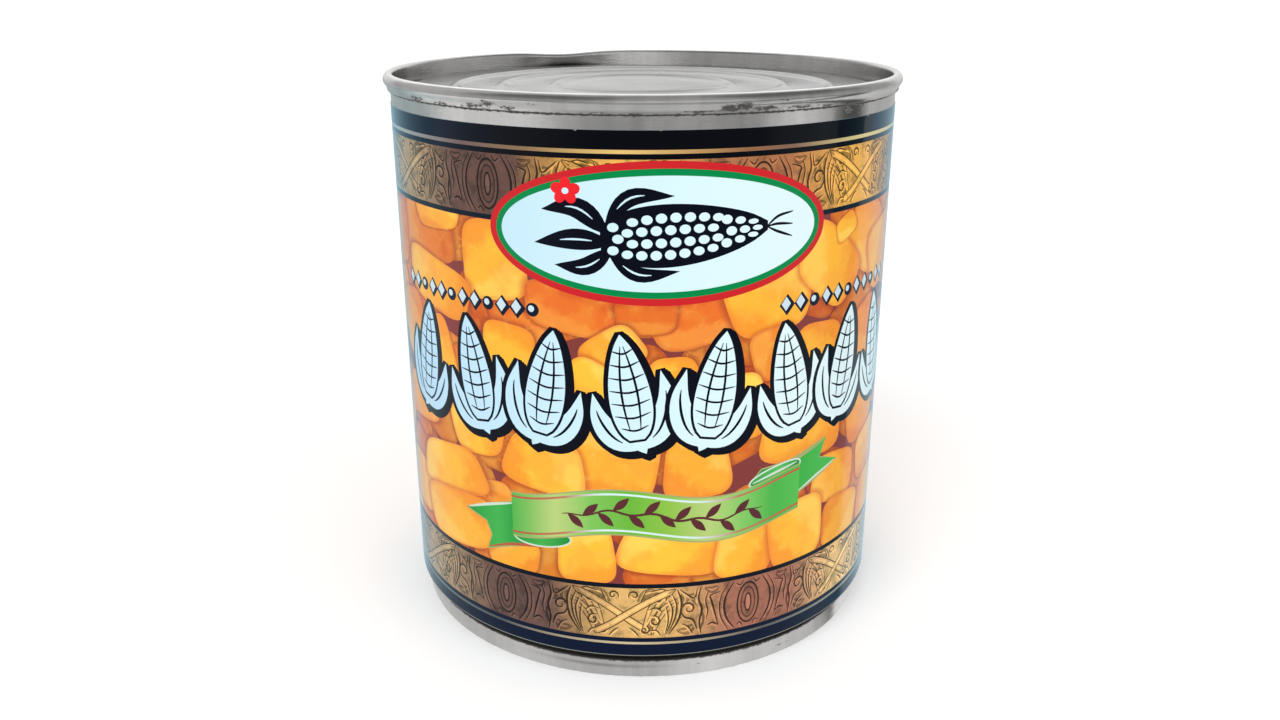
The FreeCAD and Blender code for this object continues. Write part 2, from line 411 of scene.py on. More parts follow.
# Painted reflections on the top seam and bare band: soft patches as (angle, half width in degrees, brighter
# or darker)
TOP_PAINTED_REFLECTIONS = (
    (-45, 16, 0.20),
    (-24, 5, 0.14),
    (-1, 1.3, -0.22),
    (6.5, 3, 0.06),
    (18.5, 5, -0.14),
    (31, 5.5, 0.20),
    (88, 12, -0.10),
    (132, 10, 0.14),
    (-160, 9, -0.12),
    (-104, 11, 0.12),
)
# Painted reflections on the base seam, in the same columns
BASE_PAINTED_REFLECTIONS = (
    (-28, 12, 0.16),
    (15, 8, 0.40),
    (32, 12, 0.16),
    (54, 11, 0.30),
    (-120, 14, 0.18),
    (140, 12, 0.20),
)


def patched(angle, patches):
    return sum(change * facing(angle, middle, across) for middle, across, change in patches)


def top_dirt_and_painted_light(angle, r, z):
    """(dirt and painted shade, painted light and shade) of the lid, the top seam and the bare band below it.
    """
    # The lid's panel: painted shade, darker all over
    if r < PANEL_EDGE + 0.3:
        return 0.0, -0.35
    # The chuck wall: a painted reflection, brighter towards the back left
    if r < CAN_RADIUS - 0.2:
        return 0.0, 0.14 * facing(angle, -130, 18)
    depth = RIM_HEIGHT - z
    # The line under the seam is dirt together with painted shadow of the seam's skirt; the smudges are dirt
    dirt_and_painted_shade = bell(depth, SEAM_HEIGHT + 0.06, 0.24)
    for middle, height, across, tall, strength in SMUDGES:
        dirt_and_painted_shade = max(dirt_and_painted_shade, strength * facing(angle, middle, across) * bell(depth, height, tall))
    low = min(max((depth - 1.5) / 1.2, 0.0), 1.0)
    # A painted highlight along the seam's crest, strongest at the front
    painted_crest_highlight = 0.75 * bell(depth, 0.0, 0.12) * facing(angle, 0, 70)
    # A painted reflection: the upper wall brighter at the left front
    painted_rim_highlight = 0.2 * (1 - low) * facing(angle, -42, 16)
    return dirt_and_painted_shade, patched(angle, TOP_PAINTED_REFLECTIONS) * (0.35 + 0.65 * low) + painted_crest_highlight + painted_rim_highlight


def crown(radius, height, across, down, steps=12):
    """The seam's outer top, a quarter of an ellipse, as corners for rounded()."""
    corners = []
    for step in range(1, steps):
        turn = math.pi / 2 * step / steps
        corners.append((radius - across * (1 - math.cos(turn)), height - down * (1 - math.sin(turn)), 0))
    return corners


def build_top_end():
    sunk = RIM_HEIGHT - SINK_DEPTH
    panel = RIM_HEIGHT - PANEL_DEPTH
    corners = [
        (CAN_RADIUS - 0.05, RIM_HEIGHT - SEAM_HEIGHT + 0.02, 0),
        (SKIRT_RADIUS, RIM_HEIGHT - SEAM_HEIGHT, 0.16),
        (SKIRT_RADIUS + 0.06, RIM_HEIGHT - 1.95, 1.3),
        (SEAM_RADIUS + 0.04, RIM_HEIGHT - 1.4, 0.7),
        *crown(SEAM_RADIUS + 0.04, RIM_HEIGHT, 0.93, 1.3),
        (CHUCK_TOP, RIM_HEIGHT, 0.5),
        (CHUCK_FOOT, sunk, 0.5),
        (CHUCK_FOOT - SINK_WIDTH, sunk, 0.5),
        (PANEL_EDGE, panel, 0.45),
        (PANEL_EDGE - 3.0, panel, 0),
    ]
    outline = refined(rounded(corners), FINE_STEP) + beaded_panel(PANEL_EDGE, panel, 1)
    return lathe("lid_tinplate", outline, tinplate("lid_metal"), rim_warp, top_dirt_and_painted_light)


def base_dirt_and_painted_light(angle, r, z):
    """(dirt and painted shade, painted light and shade) of the base seam: painted shade in its crevice and
    along its foot, a few streaks, a spot and a scuff, and painted reflections.
    """
    if r < BASE_SEAM_RADIUS - 1.0:
        return 0.0, 0.0
    dirt_and_painted_shade = max(
        # Painted shade: the crevice between the seam and the neck, painted near black
        1.5 * bell(z, BASE_SEAM_HEIGHT + 0.3, 0.5),
        0.95 * facing(angle, 13, 0.8) * bell(z, 1.9, 0.18),
        0.62 * facing(angle, 34, 3) * bell(z, 1.5, 0.22),
        0.6 * facing(angle, -128, 4) * bell(z, 1.7, 0.4),
        # Painted shade along the can's foot
        0.62 * bell(z, 0.0, 0.2),
    )
    # Brightness: painted reflections, less a darker band across the seam
    streak = facing(angle, -11, 13) * bell(z, 1.95, 0.28)
    return dirt_and_painted_shade, patched(angle, BASE_PAINTED_REFLECTIONS) - 0.42 * streak


def build_bottom_end():
    corners = [
        (NECK_RADIUS - 0.05, BASE_SEAM_HEIGHT - 0.02, 0),
        (BASE_SEAM_RADIUS - 0.12, BASE_SEAM_HEIGHT, 0.28),
        (BASE_SEAM_RADIUS, BASE_SEAM_HEIGHT - 1.2, 1.5),
        (BASE_SEAM_RADIUS, 0.0, 0.3),
        (BASE_CHUCK_TOP, 0.0, 0.55),
        (BASE_CHUCK_FOOT, BASE_SINK_DEPTH, 0.5),
        (BASE_CHUCK_FOOT - SINK_WIDTH, BASE_SINK_DEPTH, 0.5),
        (BASE_PANEL_EDGE, BASE_PANEL_DEPTH, 0.45),
        (BASE_PANEL_EDGE - 3.0, BASE_PANEL_DEPTH, 0),
    ]
    outline = refined(rounded(corners), FINE_STEP) + beaded_panel(BASE_PANEL_EDGE, BASE_PANEL_DEPTH, -1)
    return lathe("base_tinplate", outline, tinplate("base_metal", 1.04), None, base_dirt_and_painted_light)


def wall_dirt_and_painted_light(angle, r, z):
    """Dirt and painted light carried from the top seam down the bare band, and painted shade in the crevice
    over the base.
    """
    dirt_and_painted_shade, shade = top_dirt_and_painted_light(angle, r, z)
    # Below the label the neck is painted near black: painted shade
    painted_neck_shade = 1.6 if z < LABEL_FOOT else 0.0
    return max(dirt_and_painted_shade, painted_neck_shade), shade


def build_wall():
    seam_foot = RIM_HEIGHT - SEAM_HEIGHT
    outline = [(NECK_RADIUS, BASE_SEAM_HEIGHT - 0.1)]
    for step in range(9):
        share = step / 8
        out = (CAN_RADIUS - NECK_RADIUS) * share * share * (3 - 2 * share)
        outline.append((NECK_RADIUS + out, BASE_SEAM_HEIGHT + NECK_HEIGHT * share))
    outline += [(CAN_RADIUS, BASE_SEAM_HEIGHT + NECK_HEIGHT + 0.4), (CAN_RADIUS, LABEL_TOP - 0.6)]
    outline += refined([(CAN_RADIUS, LABEL_TOP - 0.4), (CAN_RADIUS, seam_foot + 0.3)], 0.15)
    return lathe("wall_tinplate", outline, tinplate("wall_metal", 0.99), None, wall_dirt_and_painted_light)


# ---------------------------------------------------------------------------------------
# Drawing on the unrolled label: u is the arc from the front, to the right, and v the height
# ---------------------------------------------------------------------------------------
BACK = math.pi * LABEL_RADIUS
SHEET_LEFT = -BACK + LAP / 2 - 1
SHEET_RIGHT = BACK + LAP / 2

NAVY_TOP_FOOT = 84.05
GOLD_TOP_FOOT = 83.5
BAND_TOP_HEAD = 82.75
BAND_TOP_FOOT = 74
PICTURE_HEAD = 73.25
PICTURE_FOOT = 17.6
BAND_LOW_HEAD = 16.85
BAND_LOW_FOOT = 8
GOLD_LOW_HEAD = 7.25
GOLD_LOW_FOOT = 6.82
BARE_EDGE = 0.14

NAVY = (2, 5, 20)
NAVY_LOW = (0, 15, 44)
GAP = (132, 60, 56)
PAPER_EDGE = (136, 136, 130)


def blade(path, profile):
    """The outline round a path, as wide to each side as profile(share of its length) says."""
    path = np.array(path, float)
    along = np.gradient(path, axis=0)
    along /= np.linalg.norm(along, axis=1)[:, None]
    across = np.stack((-along[:, 1], along[:, 0]), axis=1)
    steps = np.linalg.norm(np.diff(path, axis=0), axis=1)
    share = np.concatenate(((0,), np.cumsum(steps))) / steps.sum()
    half = np.array([profile(part) for part in share])[:, None]
    return np.concatenate((path + across * half, (path - across * half)[::-1]))


def stroke(path, width):
    """A pen line, thin at both ends."""
    return blade(path, lambda share: width / 2 * (0.3 + 0.7 * math.sin(math.pi * share) ** 0.7))


def leaf(path, width, peak=0.4):
    """A pointed leaf along a path, widest at peak."""
    power = math.log(0.5) / math.log(peak)
    return blade(path, lambda share: width / 2 * math.sin(math.pi * share**power) + 0.01)


def curve(*points, steps=6):
    """A smooth path through points."""
    points = np.array(points, float)
    padded = np.vstack((2 * points[0] - points[1], points, 2 * points[-1] - points[-2]))
    path = []
    for before, start, end, after in zip(padded, padded[1:], padded[2:], padded[3:]):
        slope = end - before
        bend = 2 * before - 5 * start + 4 * end - after
        twist = 3 * start - before - 3 * end + after
        for step in range(steps):
            t = step / steps
            path.append(start + (slope * t + bend * t * t + twist * t**3) / 2)
    path.append(points[-1])
    return np.array(path)


def spiral(middle, radius, start, turns, inner=0.16, steps=25):
    """A volute's path from its outside in. start is in degrees, and turns may be negative."""
    share = np.linspace(0, 1, steps)
    angle = math.radians(start) + TURN * turns * share
    reach = radius * (1 - (1 - inner) * share**0.8)
    return np.stack((middle[0] + reach * np.cos(angle), middle[1] + reach * np.sin(angle)), axis=1)


def oval(middle, across, up, steps=40, turn=0):
    angle = np.linspace(0, TURN, steps, endpoint=False)
    return placed(np.stack((across * np.cos(angle), up * np.sin(angle)), axis=1), middle, turn)


def grown(outline, distance):
    """An outline moved outward, or inward for a negative distance."""
    ahead, behind = np.roll(outline, -1, axis=0), np.roll(outline, 1, axis=0)
    area = np.sum(outline[:, 0] * ahead[:, 1] - ahead[:, 0] * outline[:, 1])
    along = ahead - behind
    along /= np.linalg.norm(along, axis=1)[:, None] + 1e-9
    out = np.stack((along[:, 1], -along[:, 0]), axis=1) * (1 if area > 0 else -1)
    return outline + out * distance


def placed(outline, middle, turn=0, mirror=False, scale=1):
    """A local outline turned, mirrored and moved to a place on the sheet."""
    points = np.array(outline, float) * (scale * (-1 if mirror else 1), scale)
    cosine, sine = math.cos(turn), math.sin(turn)
    x = points[:, 0] * cosine - points[:, 1] * sine
    y = points[:, 0] * sine + points[:, 1] * cosine
    return np.stack((x + middle[0], y + middle[1]), axis=1)


def flat(colour):
    ink = linear(colour)
    return lambda places: np.tile(ink, (len(places), 1))


def keyed(keys, tone=1):
    """A colour that changes along u, through (u, colour) keys."""
    stops = [u for u, colour in keys]
    colours = linear([colour for u, colour in keys]) * tone
    return lambda places: np.stack([np.interp(places[:, 0], stops, part) for part in colours.T], axis=1)


SHEEN_PERIOD = 40.2
SHEEN_GOLD = -3


def sheen_keys(golds, browns, middle):
    """Bands of printed gold and bronze that follow each other along the ornament."""
    keys = []
    for step in range(-7, 8):
        place = middle + step * SHEEN_PERIOD / 2
        if step % 2 == 0:
            gold = golds[(step // 2) % len(golds)]
            keys += [(place - 3.5, gold), (place + 3.5, gold)]
        else:
            brown = browns[((step - 1) // 2) % len(browns)]
            keys += [(place - 5.5, brown), (place + 5.5, brown)]
    return keys


# A gold darkened to olive: painted shade for the label's left edge, repeated with every fourth gold
GOLD_IN_PAINTED_SHADE = (172, 146, 110)
SHEEN_TOP = sheen_keys(
    ((236, 176, 88), (240, 180, 86), (226, 172, 96), GOLD_IN_PAINTED_SHADE),
    ((172, 112, 74), (132, 96, 72), (134, 104, 78), (102, 74, 66)),
    SHEEN_GOLD - 1,
)
SHEEN_LOW = sheen_keys(
    ((226, 180, 112), (240, 200, 138), (222, 176, 108), GOLD_IN_PAINTED_SHADE),
    ((164, 108, 88), (136, 98, 76), (134, 104, 82), (108, 80, 72)),
    SHEEN_GOLD + 2.6,
)


class Print:
    """Shapes on the sheet, each in one colour or a gradient. A later shape covers earlier ones."""

    def __init__(self):
        self.shapes = []
        self.engraving = False
        self.engraved = set()

    def add(self, outline, paint, kernel=None):
        if self.engraving:
            self.engraved.add(len(self.shapes))
        if isinstance(paint, tuple):
            paint = flat(paint)
        self.shapes.append((np.array(outline, float), paint, kernel))

    def band(self, foot, head, paint):
        left, right = SHEET_LEFT - 1, SHEET_RIGHT + 1
        self.add([(left, foot), (right, foot), (right, head), (left, head)], paint)


# ---------------------------------------------------------------------------------------
# The picture of corn kernels
# ---------------------------------------------------------------------------------------
KERNEL_POWER = 3.9
KERNEL_SEED = 11
TONE_SEED = 5


class Kernel:
    """A rounded, tapered tooth. warm runs from yellow to deep orange, and light is its brightness."""

    def __init__(self, u, v, across, up, turn=0, warm=0.3, light=1, taper=0.12):
        self.middle = np.array((u, v))
        self.size = np.array((across, up))
        self.turn = math.radians(turn)
        self.warm = warm
        self.light = light
        self.taper = taper

    def outline(self, steps=30):
        angle = np.linspace(0, TURN, steps, endpoint=False)
        power = 2 / KERNEL_POWER
        x = np.sign(np.cos(angle)) * np.abs(np.cos(angle)) ** power
        y = np.sign(np.sin(angle)) * np.abs(np.sin(angle)) ** power
        x = x * (1 - self.taper * y)
        return placed(np.stack((x, y), axis=1) * self.size, self.middle, self.turn)

    def local(self, places):
        """Places on the sheet in the kernel's own frame, where its outline is at 1."""
        away = places - self.middle
        cosine, sine = math.cos(self.turn), math.sin(self.turn)
        x = (away[:, 0] * cosine + away[:, 1] * sine) / self.size[0]
        y = (-away[:, 0] * sine + away[:, 1] * cosine) / self.size[1]
        return np.stack((x / np.maximum(1 - self.taper * y, 0.3), y), axis=1)

    def reach(self, places):
        return (np.abs(self.local(places)) ** KERNEL_POWER).sum(axis=1) ** (1 / KERNEL_POWER)


FRONT_KERNELS = (
    # u, v, half width, half height, turn in degrees, warm, light
    (-39, 69.5, 8.4, 4.8, 0, 0.85, 0.86),
    (-52, 67, 6.5, 5.5, 10, 0.70, 0.90),
    (-35, 72.4, 6, 2.2, 4, 0.30, 1),
    (-23, 67.4, 6, 6.3, 6, 0.22, 1),
    (-18.5, 57.8, 5.6, 2.6, -8, 0.92, 0.92),
    (-36.5, 61.6, 9, 4.3, -12, 0.35, 1),
    (-10.5, 61.2, 7.4, 3.7, -10, 1, 0.92),
    (8.5, 60.3, 8, 4.4, 14, 1, 0.93),
    (0.5, 60.6, 4.6, 2.8, 2, 1, 0.88),
    (19.5, 61.8, 7.6, 5.4, 8, 0.28, 1.04),
    (41, 68.5, 6.6, 6, -24, 0.45, 1.02),
    (31, 65.3, 7.4, 5.2, -38, 0.26, 1.04),
    (34.2, 70.8, 2.7, 1.9, 24, 0.15, 1.04),
    (48.5, 64.5, 6.6, 5.8, 12, 0.50, 1),
    (-46, 53, 5.5, 6, 8, 0.55, 0.95),
    (-29.2, 48.3, 4.6, 5, 10, 0.75, 0.96),
    (-35.6, 50.4, 3.7, 6.6, 14, 0.30, 1.02),
    (-22, 45.6, 4.8, 3.6, -4, 0.68, 0.98),
    (-21, 53, 4.6, 5.4, -6, 0.24, 1.04),
    (-9.5, 44, 4.6, 4, -18, 0.30, 1.04),
    (-4.6, 55, 5, 3.6, 32, 0.34, 1),
    (-6.8, 49.4, 5.8, 4, -30, 0.16, 1.06),
    (20.2, 53.6, 4, 4.2, 10, 0.78, 0.96),
    (4.6, 47.8, 4.5, 7, 3, 0.18, 1.06),
    (14.6, 45.8, 4.6, 5.6, 4, 0.08, 1.08),
    (35.6, 46.4, 4.6, 4.4, 14, 0.70, 0.98),
    (29, 51.2, 5.2, 6, -4, 0.34, 1.02),
    (43, 53, 5.2, 5, 20, 0.78, 0.96),
    (-45, 40.5, 7, 4, 6, 0.55, 0.98),
    (-27.8, 39.6, 5.9, 4.2, 6, 0.18, 1.04),
    (-4, 37.6, 6.6, 6.6, -4, 0.38, 1.02),
    (-15.4, 36.7, 6.9, 4.9, -8, 0.24, 1.04),
    (8.2, 37.2, 5.3, 5.6, 4, 0.42, 1.02),
    (27, 40.4, 8.8, 5.7, -4, 0.34, 1.02),
    (43.5, 38, 6, 4.4, 12, 0.60, 0.98),
    (-24.5, 29.2, 3.9, 2.8, 6, 0.72, 0.96),
    (-48.5, 24.5, 6.5, 5, -6, 0.40, 1),
    (-35.5, 31, 9.4, 4.4, 9, 0.24, 1.04),
    (-21.5, 19.6, 5.2, 3.2, 4, 0.36, 1),
    (-34, 22.6, 9.6, 5, 7, 0.30, 1.02),
    (35, 29.6, 6.2, 4.5, -8, 0.32, 1.03),
    (48, 30.5, 6, 4.6, 14, 0.45, 1),
    (37.8, 20.8, 6, 4.8, -6, 0.38, 1.02),
    (50.5, 21.5, 6.4, 4.6, 4, 0.36, 1.02),
    (4.4, 23.4, 8.4, 4.5, -6, 0.12, 1.06),
    (-8.8, 22.6, 4.7, 5.5, 2, 0.16, 1.06),
    (16.2, 22.6, 5, 5.6, -3, 0.26, 1.04),
    (26.2, 22.5, 6, 6, 5, 0.20, 1.05),
)
FRONT_ZONE = 54


def kernels():
    """Back layer first, then the kernels round the sides and back, then the front's."""
    chance = random.Random(KERNEL_SEED)
    found = []
    for pitch_u, pitch_v, warm, light, size in ((13, 10.5, 0.9, 0.78, 1), (14.6, 9.6, 0.36, 1, 1.06)):
        back = warm > 0.5
        row = 0
        v = PICTURE_FOOT + 2
        while v < PICTURE_HEAD + 3:
            u = SHEET_LEFT + (row % 2) * pitch_u / 2
            while u < SHEET_RIGHT:
                place_u = u + chance.uniform(-2.2, 2.2)
                place_v = v + chance.uniform(-1.6, 1.6)
                across = chance.uniform(5.6, 8.4) * size
                up = chance.uniform(4.2, 5.9) * size
                turn = chance.uniform(-30, 30) + (90 if chance.random() < 0.2 else 0)
                high = (place_v - PICTURE_FOOT) / (PICTURE_HEAD - PICTURE_FOOT)
                tone = min(max(warm + chance.uniform(-0.2, 0.28) + 0.14 * (high - 0.5), 0.05), 1)
                made = Kernel(place_u, place_v, across, up, turn, tone, light * chance.uniform(0.95, 1.05))
                if back or abs(place_u) > FRONT_ZONE:
                    found.append(made)
                u += pitch_u
            v += pitch_v
            row += 1
    for u, v, across, up, *looks in FRONT_KERNELS:
        taper = chance.choice((-1, 1)) * chance.uniform(0.04, 0.2)
        found.append(Kernel(u, v, across * 0.96, up * 0.96, *looks, taper=taper))
    return found


# ---------------------------------------------------------------------------------------
# The scrolled bands
# ---------------------------------------------------------------------------------------
CROSS = SHEEN_PERIOD / 2


def ornament_strokes():
    """Half a repeat of the engraving, from the medallion at 0 to the crossed bands at CROSS."""
    return [
        (curve((2.6, 4.4), (3.9, 2.2), (4.3, 0), (3.8, -2.3), (2.4, -4.4)), 0.40),
        (curve((3.5, 4.4), (4.8, 2.2), (5.1, 0), (4.7, -2.2), (3.5, -4.4)), 0.24),
        (curve((5, 3), (6.7, 2.5), (6.5, 1.5), (5.8, -1.2), (5.3, -3.2)), 0.34),
        (curve((5.3, -3.2), (6.3, -2.6), (7.2, -3)), 0.34),
        (curve((7, 3.6), (7.5, 1.8), (7.1, -0.2), (7.4, -1.8)), 0.26),
        (curve((8.3, 4.4), (8.7, 2.2), (8.1, 0.2), (8.5, -2), (8.2, -4.4)), 0.42),
        (curve((8.9, 4.2), (9.4, 2.4), (10.6, 3.2), (11.8, 4.2)), 0.26),
        (spiral((10.3, 0.5), 1.6, -60, 1.3), 0.38),
        (curve((8.9, -3.4), (9.6, -1.6), (11, -1), (11.6, 0.2)), 0.36),
        (curve((9.6, -4.2), (10.4, -2.8), (11.5, -2.2)), 0.26),
        (curve((12.2, 4.2), (11.5, 1.8), (11.9, -1.2), (13.6, -4.1)), 0.42),
        (curve((13, 3.4), (12.3, 1.4), (12.6, -1.2), (13.8, -4.1)), 0.30),
        (curve((13.6, 2.4), (13, 0.8), (13.1, -1.2), (14, -4.1)), 0.30),
        (curve((14, 1.2), (13.7, -0.4), (13.7, -2), (14.2, -4.1)), 0.26),
        (spiral((15.2, 2.7), 1.35, 200, -1.3), 0.36),
        (curve((13.9, 4.2), (15, 4.4), (16.6, 3.9)), 0.26),
        (curve((14.6, 0.2), (15.6, 1), (16.9, 0.6)), 0.28),
        (spiral((15.9, -1.5), 1.2, 60, 1.2), 0.34),
        (curve((14.9, -4.2), (15.6, -3.2), (17, -3.4)), 0.26),
        (spiral((CROSS - 2.6, -3.1), 0.95, 110, 1.25), 0.34),
        (spiral((CROSS - 0.9, 3.3), 1, -30, 1.1), 0.32),
        (curve((CROSS - 1.7, -4.3), (CROSS - 0.8, -3.2), (CROSS, -2.7)), 0.26),
        (curve((CROSS - 2.9, 4.3), (CROSS - 2.3, 2.8), (CROSS - 1.9, 1.9)), 0.26),
        (curve((0.9, 4.3), (1.5, 3.5), (2.2, 4)), 0.24),
        (curve((0.9, -4.3), (1.4, -3.5), (2.1, -3.9)), 0.24),
    ]


def ornament_leaves():
    """Leaves of the engraving as (path, width, brightness)."""
    return [
        (curve((5.4, 3.9), (6.4, 3.5), (7.6, 4)), 0.9, 0.62),
        (curve((8.3, -0.2), (8.2, -1.6), (8.4, -3.6)), 0.9, 0.42),
        (curve((9, 1.2), (9.4, 2.6), (10.8, 2.9)), 1, 0.50),
        (curve((9.4, -2.6), (10.6, -3.6), (12.2, -3.4)), 1.3, 0.55),
        (curve((11.4, 3.6), (10.9, 2.4), (11.3, 0.9)), 1, 0.62),
        (curve((14.4, -0.6), (15.4, -0.4), (16.4, -2.8)), 1.2, 0.50),
        (curve((14.2, 1.9), (15.8, 1.4), (17.2, 1.9)), 1, 0.66),
        (curve((16.4, 4.1), (17.2, 3.2), (17, 1.8)), 1, 0.50),
        (curve((16.6, -4), (17.2, -2.6), (16.8, -0.8)), 1.1, 0.60),
        (curve((CROSS - 7.6, 4.3), (CROSS - 4.6, 2), (CROSS - 2.2, -3.6)), 1.5, 1.16),
        (curve((CROSS - 8.6, 2.6), (CROSS - 5.4, 0.2), (CROSS - 3.8, -4.1)), 1.2, 1.06),
        (curve((CROSS - 4.6, 4.1), (CROSS - 2.8, 3.6), (CROSS - 1.5, 2.2)), 1.2, 0.50),
    ]


def crossed_band(width):
    """One of the two bands that cross, as a strip of a width."""
    path = curve((CROSS - 6.4, 3.7), (CROSS - 3.2, 2.1), (CROSS, 0), (CROSS + 3.2, -2.3), (CROSS + 5.4, -3.6))
    return blade(path, lambda share: width / 2)


def draw_ornament(sheet, foot, head, sheen):
    """The engraving, drawn in darker and lighter tones of the band's own colour."""
    scale = (head - foot) / 9.2
    line, shade, light = keyed(sheen, 0.14), keyed(sheen, 0.34), keyed(sheen, 1.4)
    crossing = ((1.35, line), (0.95, keyed(sheen, 1.12)), (0.3, light))
    medallion = ((2.1, 3.9, line), (1.8, 3.55, keyed(sheen)), (1.4, 2.95, shade))
    medallion += ((1.15, 2.65, keyed(sheen, 0.86)), (0.68, 1.8, line), (0.42, 1.45, light))
    for step in range(-4, 4):
        place = (SHEEN_GOLD + SHEEN_PERIOD * (step + 0.5), (foot + head) / 2)
        for mirror in (False, True):
            spot = (place, 0, mirror, scale)
            for path, width, tone in ornament_leaves():
                shape = placed(leaf(path[::2], width), *spot)
                sheet.add(grown(shape, 0.15), line if tone > 1 else shade)
                sheet.add(shape, keyed(sheen, tone))
                sheet.add(placed(stroke(path[:-2:2], 0.24), *spot), light if tone < 1 else shade)
            for path, width in ornament_strokes():
                sheet.add(placed(stroke(path[::3], width) + (0.22, -0.2), *spot), light)
                sheet.add(placed(stroke(path[::2], width), *spot), line)
        for mirror in (False, True):
            for width, paint in crossing:
                sheet.add(placed(crossed_band(width), place, 0, mirror, scale), paint)
        for across, up, paint in medallion:
            sheet.add(oval(place, across * scale, up * scale, 28), paint)


# ---------------------------------------------------------------------------------------
# Badge, ears of corn, chains and ribbon
# ---------------------------------------------------------------------------------------
BADGE_MIDDLE = np.array((2.8, 72.4))
BADGE_ACROSS = 25.7
BADGE_UP = 10.2
PALE = keyed(((-46, (188, 224, 248)), (-20, (198, 232, 252)), (8, (218, 245, 254)), (28, (229, 249, 253))))
RED = (204, 36, 42)
GREEN = (0, 136, 72)


def ear_width(share):
    """An ear's half width by the share of its length, at most 1: blunt at its foot, pointed at its tip."""
    return math.sin(math.pi * share**0.72) ** 0.62


def ear_outline(length, half_width):
    """An ear of corn that stands on the origin."""
    path = np.stack((np.zeros(23), np.linspace(0, length, 23)), axis=1)
    return blade(path, lambda share: half_width * ear_width(min(share + 0.02, 1)) + 0.02)


def draw_ear(sheet, middle, turn, mirror):
    """A pale ear between two husk leaves, with a dark rim and shadow."""

    def put(shape, paint, shift=(0, 0)):
        sheet.add(placed(shape, middle, turn, mirror) + shift, paint)

    husks = [
        curve((0.4, -8.6), (-3.4, -6), (-5.2, -1.6), (-5, 3.2)),
        curve((-0.2, -8.6), (3.2, -6.4), (5, -3), (5.4, 1)),
    ]
    shapes = [leaf(husks[0], 3.6, 0.42), leaf(husks[1], 3.4, 0.42)]
    ear = ear_outline(16.4, 3.1) + (0, -7)
    foot = leaf(curve((0, -6), (-0.4, -7.8), (-1, -9.4)), 2, 0.5)
    for shape in shapes + [ear, foot]:
        for shift in ((0, 0), (0.35, -0.25), (0.7, -0.5)):
            put(grown(shape, 0.72), NAVY, shift)
    for shape in [foot, *shapes]:
        put(shape, PALE)
    put(grown(ear, 0.4), NAVY)
    put(ear, PALE)
    for path in husks:
        put(stroke(path[4:-4], 0.42), NAVY)
    for side in (-0.36, 0.36):
        bow = side * 3.1 * np.sin(np.linspace(0.7, 2.95, 12)) * 1.05
        put(stroke(np.stack((bow, np.linspace(-5.6, 7.6, 12)), axis=1), 0.36), NAVY)
    for step in range(7):
        height = -5.4 + 2 * step
        half = 2.9 * ear_width((height + 7) / 16.4)
        row = curve((-half, height + 0.45), (0, height - 0.15), (half, height + 0.45), steps=5)
        put(stroke(row, 0.32), NAVY)


def draw_chain(sheet, start, end, v):
    """A row of small pale lozenges and dots with a dark rim."""
    count = int((end - start) / 2.5)
    for step in range(count + 1):
        u = start + (end - start) / count * step
        if step % 3 == 2:
            outline = oval((u, v), 0.5, 0.5, 14)
        else:
            outline = np.array([(u - 0.75, v), (u + 0.1, v - 1.1), (u + 0.95, v), (u + 0.1, v + 1.1)])
        sheet.add(grown(outline, 0.55) + (0.2, -0.15), (10, 24, 42))
        sheet.add(outline, (206, 226, 236))


def draw_badge(sheet):
    middle = BADGE_MIDDLE
    for inset, paint in ((0, RED), (1.05, GREEN), (2, PALE)):
        sheet.add(oval(middle, BADGE_ACROSS - inset, BADGE_UP - inset, 120), paint)
    # A lying ear with its husk laid back to the left and its silk to the right
    body = placed(ear_outline(23, 3.7), middle + (-8, -0.6), -math.pi / 2 + 0.05)
    for width, *points in (
        (3, (-7.6, 0.2), (-12, 3.6), (-17.2, 3.2)),
        (3, (-7.2, -1.2), (-12.6, -0.8), (-18.4, -1.6)),
        (2.6, (-7, -2), (-10.8, -4.6), (-15.4, -4.6)),
        (2.4, (-8, 1.6), (-4.4, 5.2), (1.6, 5.4)),
        (2.2, (-7.6, -2.6), (-3.4, -5.6), (2.4, -5.2)),
    ):
        path = curve(*points) + middle
        sheet.add(leaf(path, width, 0.42), NAVY)
        sheet.add(stroke(path[3:-4], 0.3), PALE)
    sheet.add(grown(body, 0.75), NAVY)
    for column in range(11):
        along = column / 10
        half = 3.5 * ear_width(0.1 + 0.8 * along)
        rows = 4 if half > 2.6 else 3
        for row in range(rows):
            height = (row - (rows - 1) / 2) * 2 * half / rows
            stagger = 0.35 if row % 2 else -0.35
            place = middle + (-6.6 + 20 * along + stagger, -0.6 + along + height)
            sheet.add(oval(place, 0.8, half / rows * 0.8, 14), PALE)
    for lift in (-1.6, 0.2, 2):
        silk = curve((15.2, 0.4), (17, 0.5 + lift * 0.6), (19.6, 0.2 + lift))
        sheet.add(stroke(silk + middle, 0.4), NAVY)
    flower = middle + (-13.6, 5.9)
    for petal in range(5):
        angle = TURN * petal / 5 + 0.3
        place = flower + (1.25 * math.cos(angle), math.sin(angle))
        sheet.add(oval(place, 0.95, 0.8, 16, angle), (238, 36, 44))
    sheet.add(oval(flower, 0.5, 0.45, 14), PALE)


RIBBON_DEEP = (30, 150, 62)


def ribbon_middle(u):
    return 28.9 + 1.1 * np.cos(TURN * (u + 4.5) / 33) + 0.03 * (u - 2.5)


def ribbon_strip(low, high, start=-21.2, end=26.1):
    """The part of the ribbon's face between two distances from its middle line."""
    u = np.linspace(start, end, 48)
    line = ribbon_middle(u)
    lower = np.stack((u, line + low), axis=1)
    upper = np.stack((u, line + high), axis=1)
    return np.concatenate((lower, upper[::-1]))


